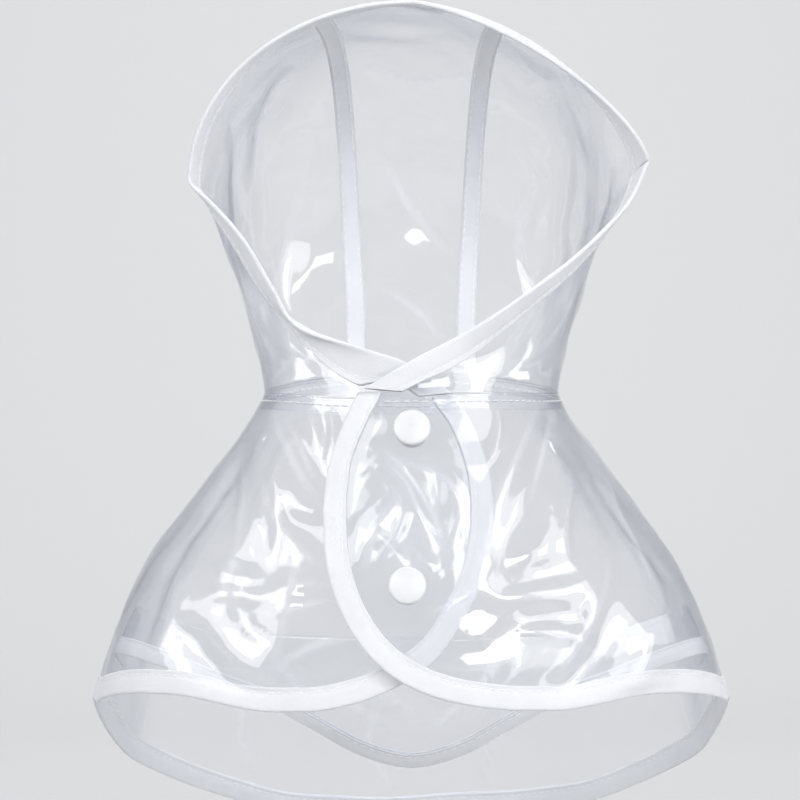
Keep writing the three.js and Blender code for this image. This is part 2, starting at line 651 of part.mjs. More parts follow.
function ribsOf(side) {
  const opening = {
    ...FACE_ARCH[side],
    foot: FACE_FOOT[side],
    lower: (sign) => faceEdge(side, sign),
  };
  return [opening, ...HOOD_RIBS.map((rib) => ({ ...rib, lower: (sign) => cheekCurve(rib, sign) }))];
}

// How far round the arch of a rib the gusset's seam lies.
function seamClimb(rib, half) {
  const share = Math.min(WIDEST_GUSSET, half / rib.reach);
  return 1 + Math.acos(share ** (rib.round / 2)) / (Math.PI / 2);
}

const gussetHalfAt = (n) => lerp(GUSSET_HALF, GUSSET_NECK_HALF, n / HOOD_RIBS.length);
const neckSeamAngle = 180 - inDegrees(Math.atan2(GUSSET_NECK_HALF, NAPE_BACK));

// The form of one side of the hood: back runs from 0 (face opening) to 1 (neck seam at the nape),
// and up from 0 (foot) to 1 (gusset seam).
function hoodSide(side, sign) {
  const ribs = ribsOf(side);
  const footAngles = [...ribs.map((rib) => rib.foot), HOOD_LAST_FOOT];
  const feet = footAngles.map((foot, k) => ({ at: k / ribs.length, foot }));
  const curves = [];
  for (let n = 0; n <= HOOD_LEVELS; n += 1) {
    const share = n / HOOD_LEVELS;
    const upperShare = (share - LOWER_SHARE) / (1 - LOWER_SHARE);
    const points = ribs.map((rib, k) => {
      const top = seamClimb(rib, gussetHalfAt(k));
      return ribPoint(rib, sign, upperShare < 0 ? share / LOWER_SHARE : lerp(1, top, upperShare));
    });
    points.push(capeForm(sign * lerp(HOOD_LAST_FOOT, neckSeamAngle, share), 0));
    curves.push(new THREE.CatmullRomCurve3(points, false, "centripetal"));
  }
  const footAngle = (back) => through(feet, "foot", "at", back);
  const point = (back, up) => {
    const k = Math.min(Math.floor(up * HOOD_LEVELS), HOOD_LEVELS - 1);
    const place = curves[k].getPoint(back).lerp(curves[k + 1].getPoint(back), up * HOOD_LEVELS - k);
    const onSeam = capeForm(sign * footAngle(back), 0).sub(curves[0].getPoint(back));
    return place.addScaledVector(onSeam, (1 - up) ** SEAM_PULL);
  };
  return { point, footAngle };
}

// How far back on a side of the hood its foot has reached an angle on the neck seam, by halving.
function backOfFoot(form, angle) {
  let low = 0;
  let high = 1;
  while (high - low > 1e-9) {
    const middle = (low + high) / 2;
    if (form.footAngle(middle) < angle) {
      low = middle;
    } else {
      high = middle;
    }
  }
  return low;
}

// Lines over one side of the hood, from the face opening in to the neck seam: the first runs along
// the neck seam from the throat, and the last runs along the gusset seam to the nape.
function hoodSideLines(side, sign) {
  const form = hoodSide(side, sign);
  const lines = [];
  for (let n = 0; n <= HOOD_SIDE_LINES; n += 1) {
    const share = n / HOOD_SIDE_LINES;
    const endAngle = lerp(FACE_FOOT[side] + HOOD_SHORT_SEAM, neckSeamAngle, share ** END_POWER);
    const endBack = endAngle < HOOD_LAST_FOOT ? backOfFoot(form, endAngle) : 1;
    const endUp = Math.max(0, (endAngle - HOOD_LAST_FOOT) / (neckSeamAngle - HOOD_LAST_FOOT));
    const bend = lerp(1, LAST_BEND, share ** BEND_POWER);
    const line = [];
    for (let k = 0; k <= HOOD_SAMPLES; k += 1) {
      const t = k / HOOD_SAMPLES;
      line.push(form.point(endBack * t, lerp(share, endUp, t ** bend)));
    }
    lines.push(line);
  }
  return lines;
}

// Lines of the hood from its face opening back to the neck seam, from the right foot over the
// crown to the left foot.
function hoodLines() {
  const lines = hoodSideLines("right", -1);
  for (let n = 1; n < GUSSET_LINES; n += 1) {
    const share = (2 * n) / GUSSET_LINES - 1;
    const side = share < 0 ? "right" : "left";
    const sign = share < 0 ? -1 : 1;
    const points = ribsOf(side).map((rib, k) => {
      return ribPoint(rib, sign, lerp(2, seamClimb(rib, gussetHalfAt(k)), Math.abs(share)));
    });
    points.push(capeForm(180 - (180 - neckSeamAngle) * share, 0));
    lines.push(new THREE.CatmullRomCurve3(points, false, "centripetal").getPoints(HOOD_SAMPLES));
  }
  lines.push(...hoodSideLines("left", 1).reverse());
  return lines;
}

// Each half of the hood's lower front stands off with the flap that it is sewn to
function liftFlaps(grid) {
  const last = grid.length - 1;
  return grid.map((line, i) => line.map((point) => {
    const isOver = i > last / 2;
    const angle = inDegrees(Math.atan2(point.x, -point.y));
    const aside = smooth(isOver ? angle : -angle, FLAP_LIFT_FADE.from, FLAP_LIFT_FADE.to);
    const above = smooth(point.z, HOOD_LIFT_FADE.from, HOOD_LIFT_FADE.to);
    const lift = (isOver ? 1 : -1) * FLAP_LIFT * (1 - aside) * (1 - above);
    return point.clone().addScaledVector(capeFacing(angle, 0.01), lift);
  }));
}

const hoodPlain = panelGrid(hoodLines(), HOOD_ROWS, TAPE_WIDTH);
const outwards = (grid, normals) => {
  const middle = Math.floor(grid.length / 2);
  const facesUp = normals[middle][2].z > 0;
  return facesUp ? normals : normals.map((line) => line.map((normal) => normal.clone().negate()));
};
const hoodGrid = liftFlaps(hoodPlain);
const hoodNormals = outwards(hoodGrid, gridNormals(hoodGrid));
const rightSeam = HOOD_SIDE_LINES;
const leftSeam = HOOD_SIDE_LINES + GUSSET_LINES;
const hoodEnd = hoodGrid.length - 1;

// The neck seam trims a side panel along its foot, and every panel where its lines end
function hoodPanel(name, from, to) {
  let grid = hoodGrid.slice(from, to + 1);
  grid = trim(grid, "inner", NECK_TRIM);
  grid = trim(grid, "first", from === 0 ? NECK_TRIM : HOOD_TRIM);
  grid = trim(grid, "last", to === hoodEnd ? NECK_TRIM : HOOD_TRIM);
  addPiece(name, wall(grid, hoodNormals.slice(from, to + 1), FILM), "film");
}
hoodPanel("hood_right", 0, rightSeam);
hoodPanel("hood_gusset", rightSeam, leftSeam);
hoodPanel("hood_left", leftSeam, hoodEnd);
addPiece("hood_tape", foldedTape(trimEnds(hoodGrid, TAPE_END_TRIM), hoodNormals), "tape");

// Tape on the inside of each hood seam, made from the hood's points beside the seam, moved in
function seamTape(name, seam) {
  const rows = [];
  const normals = [];
  for (let j = 2; j < hoodGrid[0].length - 1; j += 1) {
    const centre = hoodGrid[seam][j];
    const aside = (line) => {
      const away = hoodGrid[line][j].clone().sub(centre);
      return centre.clone().add(away.setLength(SEAM_TAPE_WIDTH / 2));
    };
    const tilt = (line) => {
      return hoodNormals[seam][j].clone().lerp(hoodNormals[line][j], SEAM_TAPE_TILT).normalize();
    };
    rows.push([aside(seam - 1), centre, aside(seam + 1)]);
    normals.push([tilt(seam - 1), hoodNormals[seam][j], tilt(seam + 1)]);
  }
  addPiece(name, wall(rows, normals, TAPE, -SEAM_TAPE_DEPTH), "tape");
}
seamTape("seam_tape_right", rightSeam);
seamTape("seam_tape_left", leftSeam);

// The belly panel: lines from its lower edge up, lapped against the inside of the cape at each end
function bellyLines() {
  const level = { low: [], mid: [], top: [] };
  const lapAt = (angle, drop) => {
    const round = angle > 0 ? angle : 360 + angle;
    return capePoint(round, drop).addScaledVector(capeFacing(round, drop), -BELLY_LAP_DEPTH);
  };
  const addLap = (sign, angles) => {
    for (const angle of angles) {
      level.low.push(lapAt(sign * angle, BELLY_LAP.lowDrop));
      level.mid.push(lapAt(sign * angle, (BELLY_LAP.lowDrop + BELLY_LAP.topDrop) / 2));
      level.top.push(lapAt(sign * angle, BELLY_LAP.topDrop));
    }
  };
  addLap(-1, [BELLY_LAP.fromAngle, BELLY_LAP.toAngle]);
  for (const share of BELLY_SHARES) {
    const x = share * BELLY.reach;
    const y = lerp(BELLY.y, BELLY.sideY, share * share);
    const midY = y + BELLY.midY - BELLY.y;
    const dip = Math.exp(-((x / BELLY_DIP.width) ** 2));
    const depth = BELLY_DIP.depth * dip;
    level.low.push(new THREE.Vector3(x, y + BELLY_DIP.tuck * dip, BELLY.lowZ - depth));
    level.mid.push(new THREE.Vector3(x, midY, BELLY.midZ - BELLY_DIP.midShare * depth));
    level.top.push(new THREE.Vector3(x, y, BELLY.topZ));
  }
  addLap(1, [BELLY_LAP.toAngle, BELLY_LAP.fromAngle]);
  const spaced = (points) => {
    return new THREE.CatmullRomCurve3(points, false, "centripetal").getPoints(BELLY_LINES);
  };
  const [low, mid, top] = [spaced(level.low), spaced(level.mid), spaced(level.top)];
  return low.map((point, n) => {
    return new THREE.CatmullRomCurve3([point, mid[n], top[n]]).getSpacedPoints(BELLY_SAMPLES);
  });
}

const bellyGrid = panelGrid(bellyLines(), BELLY_ROWS, BELLY_TAPE_WIDTH);
const bellyNormals = gridNormals(bellyGrid);
addPiece("belly_panel", wall(bellyGrid, bellyNormals, FILM), "film");
addPiece("belly_tape", foldedTape(bellyGrid, bellyNormals), "tape");

export default coat;
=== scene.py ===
# %% [markdown]
# # A hooded raincoat of clear film
#
# The coat is a cape and a hood cut from clear glossy film, with folded white tape on every edge
# and two white snaps that hold the front flaps over each other. It keeps the hollow form of a
# worn coat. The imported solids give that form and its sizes. This lesson builds the thin film,
# tape, thread and snaps on the same form, and gives each its finish.

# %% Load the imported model
import math

import bpy
import numpy as np
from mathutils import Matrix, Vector


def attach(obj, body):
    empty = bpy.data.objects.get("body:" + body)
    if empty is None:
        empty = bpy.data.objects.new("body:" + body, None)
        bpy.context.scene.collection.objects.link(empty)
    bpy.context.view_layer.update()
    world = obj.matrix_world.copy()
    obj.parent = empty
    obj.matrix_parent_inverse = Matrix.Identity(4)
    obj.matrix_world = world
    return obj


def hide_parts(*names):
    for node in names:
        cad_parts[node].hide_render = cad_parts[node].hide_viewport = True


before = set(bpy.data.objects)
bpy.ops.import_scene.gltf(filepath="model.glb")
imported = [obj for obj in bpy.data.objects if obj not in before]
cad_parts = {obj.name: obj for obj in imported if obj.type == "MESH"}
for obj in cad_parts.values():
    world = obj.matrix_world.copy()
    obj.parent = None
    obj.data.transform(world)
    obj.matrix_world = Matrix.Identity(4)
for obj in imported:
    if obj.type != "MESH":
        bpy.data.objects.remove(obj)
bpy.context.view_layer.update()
MM = 0.001  # sizes below are in millimetres, and meshes are made in metres

# %% [markdown]
# ## Camera
#
# The photo was taken level, from straight in front, with a long lens. A long lens far away keeps
# the back hem from looking much smaller than the front one. The lens follows from how wide the
# view is at the chest.

# %% Camera
CHEST_Y = -70  # the plane of the chest
VIEW_WIDTH = 260  # what the picture spans there
VIEW_CENTRE = (-3.9, -6.5)  # x and z in the middle of the picture
CAMERA_DISTANCE = 1150

camera_data = bpy.data.cameras.new("camera")
camera_data.lens = camera_data.sensor_width * CAMERA_DISTANCE / VIEW_WIDTH
camera_data.clip_start = 0.05
camera_data.clip_end = 30
camera = bpy.data.objects.new("camera", camera_data)
camera.location = (VIEW_CENTRE[0] * MM, (CHEST_Y - CAMERA_DISTANCE) * MM, VIEW_CENTRE[1] * MM)
camera.rotation_euler = (math.radians(90), 0, 0)
bpy.context.scene.collection.objects.link(camera)
bpy.context.scene.camera = camera
print("lens", round(camera_data.lens, 1), "mm")

# %% [markdown]
# ## Curves and tables
#
# A coat's form changes smoothly from ring to ring and rib to rib. Short tables hold the sizes at
# each, and two helpers read smooth values between them: one for a table's column and one for
# points in space. Both take whole arrays at once, so a fine mesh takes a moment.


# %% Helpers for smooth curves
def lerp(a, b, share):
    return a + (b - a) * share


def smoothstep(value, low, high):
    t = np.clip((value - low) / (high - low), 0, 1)
    return t * t * (3 - 2 * t)


def unit(vectors):
    return vectors / np.maximum(np.linalg.norm(vectors, axis=-1, keepdims=True), 1e-12)


def through(table, key, at, value):
    """A smooth value through one column of a table, read at a value of another column."""
    xs = np.array(table[at], float)
    ys = np.array(table[key], float)
    k = np.clip(np.searchsorted(xs, value) - 1, 0, len(xs) - 2)
    before = np.maximum(k - 1, 0)
    after = np.minimum(k + 2, len(xs) - 1)
    span = xs[k + 1] - xs[k]
    m0 = (ys[k + 1] - ys[before]) / (xs[k + 1] - xs[before]) * span
    m1 = (ys[after] - ys[k]) / (xs[after] - xs[k]) * span
    t = (value - xs[k]) / span
    rise = 3 * t**2 - 2 * t**3
    return lerp(ys[k], ys[k + 1], rise) + (t**3 - 2 * t**2 + t) * m0 + (t**3 - t**2) * m1


def spline(points, t):
    """Points on the smooth curves through rows of points (..., count, 3), at t from 0 to 1."""
    t = np.asarray(t, float)
    points = np.broadcast_to(points, t.shape + np.shape(points)[-2:])
    last = points.shape[-2] - 1
    place = np.clip(t, 0, 1) * last
    k = np.minimum(place.astype(int), last - 1)
    w = (place - k)[..., None]

    def pick(n):
        return np.take_along_axis(points, n[..., None, None], -2)[..., 0, :]

    start, end = pick(k), pick(k + 1)
    before = np.where((k > 0)[..., None], pick(np.maximum(k - 1, 0)), 2 * start - end)
    after = np.where((k < last - 1)[..., None], pick(np.minimum(k + 2, last)), 2 * end - start)

    def spacing(a, b):
        return np.sqrt(np.linalg.norm(b - a, axis=-1, keepdims=True))

    d0, d1, d2 = spacing(before, start), spacing(start, end), spacing(end, after)
    d1 = np.where(d1 < 1e-4, 1, d1)
    d0 = np.where(d0 < 1e-4, d1, d0)
    d2 = np.where(d2 < 1e-4, d1, d2)
    m0 = ((start - before) / d0 - (end - before) / (d0 + d1) + (end - start) / d1) * d1
    m1 = ((end - start) / d1 - (after - start) / (d1 + d2) + (after - end) / d2) * d1
    curve = (2 * start - 2 * end + m0 + m1) * w**3 + (3 * end - 3 * start - 2 * m0 - m1) * w**2
    return curve + m0 * w + start


def reach_along(points):
    """How far along a row of points each one lies."""
    steps = np.linalg.norm(np.diff(points, axis=-2), axis=-1)
    return np.concatenate([np.zeros(steps.shape[:-1] + (1,)), np.cumsum(steps, -1)], -1)


# %% [markdown]
# ## The cape's form
#
# The cape is a cone-like sheet that spreads from the neck seam to the hem, lower at the back than
# in front. Rings give its reach to the sides, front and back. Angles run round from the front,
# and drop runs from 0 at the neck seam to 1 at the hem. In front the two flaps overlap, so each
# lies a little off the shared form.

# %% Cape rings and folds
CAPE_RINGS = {
    "name": ("neck", "collar", "shoulder", "arm", "elbow", "skirt", "hem"),
    "drop": (0.0, 0.1, 0.25, 0.42, 0.6, 0.8, 1.0),
    "side": (50.5, 55, 66, 79.5, 92.5, 103.5, 110.5),
    "front": (46.5, 50.5, 56.5, 62.5, 68, 72.5, 76),
    "back": (43, 51, 65, 79, 93, 108, 121),
    "front_z": (-5, -15, -31, -49, -67, -87, -107),
    "side_z": (-4, -13, -28, -45, -61, -84, -109),
    "back_z": (3, -11, -33, -60, -91, -128, -165),
    "corner": (2.0, 2.0, 2.05, 2.1, 2.2, 2.35, 2.45),
}
FRONT_HEM_LIFT = 5.3  # the front hem sags under the flaps and rises this much to each side
FRONT_HEM_RISE = (32, 54)  # degrees from the front over which it rises
FRONT_HEM_FALL = (58, 84)  # and over which it falls back
SIDE_ROUNDING = 0.1  # how softly the side turns from the front's hem line into the back's
FLAP_LIFT = 2.15  # how far each flap stands off the shared form
FLAP_LIFT_FADE = (28, 62)  # degrees from the front over which that fades
FOLD_FADE = (0.45, 0.85)  # shares of a fold's length between which it is full

# top angle, top drop, foot angle, foot drop, width in degrees, depth (out is positive)
CAPE_FOLDS = {
    "right breast": (-74, 0.06, -27, 0.42, 7, 2.2),
    "right arm": (-72, 0.12, -46, 0.62, 6, -2.4),
    "right knee": (-32, 0.5, -37, 0.95, 5, 2.2),
    "right thigh": (-58, 0.72, -40, 0.97, 6, -2.2),
    "right flank": (-98, 0.3, -80, 1.1, 8, -3.2),
    "left breast": (58, 0.05, 32, 0.6, 8, 2.6),
    "left knee": (50, 0.6, 35, 0.98, 5, -2.4),
    "left thigh": (66, 0.7, 47, 1.0, 5, 2.2),
    "left flank": (92, 0.35, 82, 1.1, 8, -3.0),
    "left haunch": (118, 0.25, 126, 1.15, 9, 4.2),
    "left back": (140, 0.35, 147, 1.15, 8, -4.0),
    "spine": (176, 0.2, 172, 1.15, 10, 4.0),
    "right back": (-152, 0.4, -158, 1.15, 8, -3.6),
    "right haunch": (-122, 0.3, -130, 1.15, 9, 4.4),
}


# %% Cape form
def cape_form(angle, drop):
    """The cape without folds."""
    angle, drop = np.broadcast_arrays(np.asarray(angle, float), np.asarray(drop, float))
    turn = np.radians(angle)
    ring = {key: through(CAPE_RINGS, key, "drop", drop) for key in CAPE_RINGS if key != "name"}
    sine, cosine = np.abs(np.sin(turn)), np.abs(np.cos(turn))
    front = np.cos(turn) >= 0
    depth = np.where(front, ring["front"], ring["back"])
    power = ring["corner"]
    radius = ((sine / ring["side"]) ** power + (cosine / depth) ** power) ** (-1 / power)
    front_z = lerp(ring["front_z"], ring["side_z"], sine**2)
    aside = np.abs((angle + 540) % 360 - 180)
    lift = smoothstep(aside, *FRONT_HEM_RISE) * (1 - smoothstep(aside, *FRONT_HEM_FALL))
    front_z = front_z + FRONT_HEM_LIFT * drop**2 * lift
    past_side = np.hypot(cosine, SIDE_ROUNDING) - SIDE_ROUNDING
    past_side = past_side / (math.hypot(1, SIDE_ROUNDING) - SIDE_ROUNDING)
    back_z = lerp(ring["side_z"], ring["back_z"], past_side)
    height = np.where(front, front_z, back_z)
    return np.stack([radius * np.sin(turn), -radius * np.cos(turn), height], -1)


def cape_facing(angle, drop):
    round_it = cape_form(angle + 1, drop) - cape_form(angle - 1, drop)
    down = cape_form(angle, drop + 0.01) - cape_form(angle, drop - 0.01)
    return unit(np.cross(down, round_it))


def fold_depth(angle, drop):
    depth = np.zeros(np.shape(angle))
    for top_angle, top_drop, foot_angle, foot_drop, width, rise in CAPE_FOLDS.values():
        along = (drop - top_drop) / (foot_drop - top_drop)
        away = (angle - lerp(top_angle, foot_angle, along) + 540) % 360 - 180
        shape = np.exp(-((away / width) ** 2))
        shape = shape * smoothstep(along, 0, FOLD_FADE[0]) * (1 - smoothstep(along, FOLD_FADE[1], 1))
        depth += rise * np.where((along > 0) & (along < 1), shape, 0)
    return depth


def cape_point(round_angle, drop):
    """The cape with its folds. round_angle runs from the over flap's edge (below 0) by the back
    (180) to the under flap's edge (above 360), so that the flaps have their own layers."""
    over = round_angle < 180
    from_front = np.where(over, round_angle, 360 - round_angle)
    lift = np.where(over, 1, -1) * FLAP_LIFT * (1 - smoothstep(from_front, *FLAP_LIFT_FADE))
    folds = fold_depth(np.where(round_angle > 180, round_angle - 360, round_angle), drop)
    return cape_form(round_angle, drop) + cape_facing(round_angle, drop) * (lift + folds)[..., None]


FRONT_GUESS = {"reach": 65, "height": 108, "steps": 12}  # a plain cylinder to start from


def place_on_front(x, z):
    """Angle and drop of the point of the cape's front at a given x and z, by Newton's steps."""
    x, z = np.asarray(x, float), np.asarray(z, float)
    angle, drop = np.degrees(np.arctan2(x, FRONT_GUESS["reach"])), -z / FRONT_GUESS["height"]
    for _ in range(FRONT_GUESS["steps"]):
        here = cape_form(angle, drop)
        by_angle = (cape_form(angle + 0.5, drop) - here) * 2
        by_drop = (cape_form(angle, drop - 0.01) - here) * -100
        scale = by_angle[..., 0] * by_drop[..., 2] - by_angle[..., 2] * by_drop[..., 0]
        dx, dz = x - here[..., 0], z - here[..., 2]
        angle = angle + (dx * by_drop[..., 2] - dz * by_drop[..., 0]) / scale
        drop = np.clip(drop + (dz * by_angle[..., 0] - dx * by_angle[..., 2]) / scale, 0, 1)
    return angle, drop


# %% [markdown]
# ## The flaps' free edges
#
# Each front flap has a curved free edge that crosses the middle and runs into the hem. The table
# gives how far past the middle it reaches at each height. From stations along that edge, lines
# fan up to the neck seam, and a grid of points on those lines becomes the panel.

# %% Edge of each half of the cape
FLAP_EDGE = {
    "z": (-15, -28.5, -43, -62, -78, -90.5, -98.7, -104.2),
    "over": (22, 26.7, 28.4, 27.4, 22, 13.2, 2.6, -11.5),
    "under": (21.5, 26, 27.4, 24.6, 17, 8, -3.8, -17),
}
FLAP_NECK_REACH = {"over": 17.5, "under": 15.5}
FLAP_NECK_FRONT = 43.8
FLAP_HEM_START, FLAP_HEM_FRONT = 32, 74  # where the flap's curve has become the hem
HEM_POINTS = 13
EDGE_SAMPLES = 3001
FLAP_SHORT_SEAM = 30  # degrees of neck seam that a flap's first line lies along
FAN_ANGLE = 66  # from here round to the back, lines run straight up from the hem
FAN_POWER = 1.35  # above 1, the fanned lines meet the neck seam closer together at the flap
TAPE_WIDTH = 8
EDGE_INSET = 1.3  # the film stops this far inside the tape's fold
EDGE_STEP = 2.4
LEAST_SLANT = 0.62


def half_edge(flap):
    sign = 1 if flap == "over" else -1
    neck_angle = -math.degrees(math.atan2(FLAP_NECK_REACH[flap], FLAP_NECK_FRONT))
    angle, drop = place_on_front(-sign * np.array(FLAP_EDGE[flap]), FLAP_EDGE["z"])
    hem_angle = math.degrees(math.atan2(FLAP_HEM_START, FLAP_HEM_FRONT))
    hem = np.linspace(hem_angle, 180, HEM_POINTS)
    angles = np.concatenate([[neck_angle], sign * angle, hem])
    drops = np.concatenate([[0], drop * 100, np.full(len(hem), 100)])
    places = np.stack([angles, drops, np.zeros(len(angles))], -1)
    curve = spline(places, np.linspace(0, 1, EDGE_SAMPLES))
    return curve[:, 0], np.clip(curve[:, 1] / 100, 0, 1)


def cape_half_lines(flap, step):
    """Lines from one half's outer edge up to the neck seam, as starts and ends in angle and drop."""
    angle, drop = half_edge(flap)
    along = reach_along(cape_point(angle if flap == "over" else 360 - angle, drop))
    stations = np.linspace(0, along[-1], round(along[-1] / step) + 1)
    angle, drop = np.interp(stations, along, angle), np.interp(stations, along, drop)
    free = np.argmax(angle > FAN_ANGLE)
    share = np.minimum(1, np.arange(len(angle)) / free)
    fan = lerp(angle[0] + FLAP_SHORT_SEAM, angle[free], share**FAN_POWER)
    neck_angle = np.where(np.arange(len(angle)) >= free, angle, fan)
    return angle, drop, neck_angle


def cape_lines(step=EDGE_STEP):
    over, under = cape_half_lines("over", step), cape_half_lines("under", step)
    joined = [np.concatenate([a[:-1], b[::-1]]) for a, b in zip(over, under)]
    is_over = np.arange(len(joined[0])) < len(over[0]) - 1

    def at(t):
        angle, drop = lerp(joined[0][:, None], joined[2][:, None], t), joined[1][:, None] * (1 - t)
        return cape_point(np.where(is_over[:, None], angle, 360 - angle), drop)

    return at


def panel_grid(line_at, distances_of, samples=60):
    """Points of a panel. line_at gives each line's points, from its edge in, at t from 0 to 1,
    and distances_of turns each line's slant and length into distances along it."""
    t = np.linspace(0, 1, samples + 1)
    dense = line_at(np.broadcast_to(t, (1, samples + 1)))
    along = reach_along(dense)
    tangent = unit(np.gradient(dense[:, 0], axis=0))
    inward = unit(dense[:, 1] - dense[:, 0])
    slant = np.maximum(LEAST_SLANT, np.linalg.norm(np.cross(tangent, inward), axis=-1))
    distances = distances_of(slant, along[:, -1])
    exact = np.stack([np.interp(d, a, t) for d, a in zip(distances, along)])
    return line_at(exact), distances


def grid_normals(grid):
    across = np.gradient(grid, axis=1)
    along = np.gradient(grid, axis=0)
    return unit(np.cross(along, across))


# %% [markdown]
# ## Creases pressed one by one
#
# Film this thin holds creases where it was folded or pulled: a sharp crest with long soft flanks.
# Each is a short path with a reach and a rise. Noise alone would look like crumpled foil, so the
# creases that show are placed one by one, and the hidden sides have similar ones.


# %% Crease tool
PATH_SAMPLES = 60
CREST = 0.12  # how rounded the crest is, as a share of the crease's reach
FLANK = 1.35  # how far each straight flank runs, as a share of it
FOOT = 0.2  # the share of the rise below which the flank fades out softly


def press(grid, normals, creases, weight):
    """Moves a grid's points along their normals by each crease in turn, and returns the moved grid
    and how sharp the film is bent at each point."""
    lift = np.zeros(grid.shape[:2])
    sharp = np.zeros(grid.shape[:2])
    for path, reach, rise, where in creases:
        line = spline(path, np.linspace(0, 1, PATH_SAMPLES))
        low, high = line.min(0) - 4 * reach, line.max(0) + 4 * reach
        near = np.all((grid > low) & (grid < high), axis=-1) & where
        points = grid[near]
        if not len(points):
            continue
        gaps = np.linalg.norm(points[:, None] - line[None], axis=-1)
        closest = gaps.argmin(1)
        away = gaps[np.arange(len(points)), closest]
        crest = CREST * reach
        flank = 1 - (np.hypot(away, crest) - crest) / (FLANK * reach)
        shape = np.where(flank > FOOT, flank, FOOT * np.exp(np.minimum(flank / FOOT - 1, 0)))
        share = closest / (len(line) - 1)
        taper = np.sin(np.pi * np.clip(share * 0.94 + 0.03, 0, 1)) ** 0.7
        lift[near] += rise * shape * taper
        sharp[near] = np.maximum(sharp[near], np.exp(-((away / (0.25 * reach)) ** 2)) * taper)
    return grid + normals * (lift * weight)[..., None], sharp * weight


def ripple(points):
    """Slow unevenness of relaxed film, in millimetres."""
    x, y, z = np.moveaxis(points, -1, 0)
    wave = np.sin(0.134 * x + 0.103 * z + 1.3) * np.sin(0.165 * z - 0.118 * y + 0.4)
    return 0.24 * wave + 0.12 * np.sin(0.27 * x - 0.21 * y + 0.9) * np.sin(0.25 * y + 0.19 * z)


# %% Building meshes from grids
def add_mesh(name, points, faces, **attributes):
    """An object that rides on the coat's body. points are in millimetres."""
    mesh = bpy.data.meshes.new(name)
    mesh.from_pydata((np.reshape(points, (-1, 3)) * MM).tolist(), [], list(faces))
    mesh.shade_smooth()
    for key, values in attributes.items():
        layer = mesh.attributes.new(key, "FLOAT", "POINT")
        layer.data.foreach_set("value", np.ravel(values).astype(np.float32))
    piece = bpy.data.objects.new(name, mesh)
    bpy.context.scene.collection.objects.link(piece)
    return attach(piece, "root")


def grid_faces(rows, columns, wrap=False):
    """Quads of a grid. With wrap, the last column joins the first."""
    i, j = np.meshgrid(np.arange(rows - 1), np.arange(columns - (not wrap)), indexing="ij")
    i, j = i.ravel(), j.ravel()
    k = (j + 1) % columns
    return np.stack([i * columns + j, (i + 1) * columns + j, (i + 1) * columns + k, i * columns + k], 1)


FILM_THICKNESS = 0.25


def add_film(name, grid, sharp):
    """A panel of film: the grid as a sheet, given its thickness by Solidify."""
    piece = add_mesh(name, grid, grid_faces(*grid.shape[:2]), crease=sharp)
    shell = piece.modifiers.new("film thickness", "SOLIDIFY")
    shell.thickness = FILM_THICKNESS * MM
    shell.offset = 0
    print(name, grid.shape[:2], "points")
    return piece


# %% [markdown]
# ## The cape
#
# One piece of film goes from flap to flap round the back. Creases on the front are given as x and
# z, as they are read off a front view. Those on the sides and back are given in angle and drop.

# %% Cape panel
CAPE_ROWS = 84

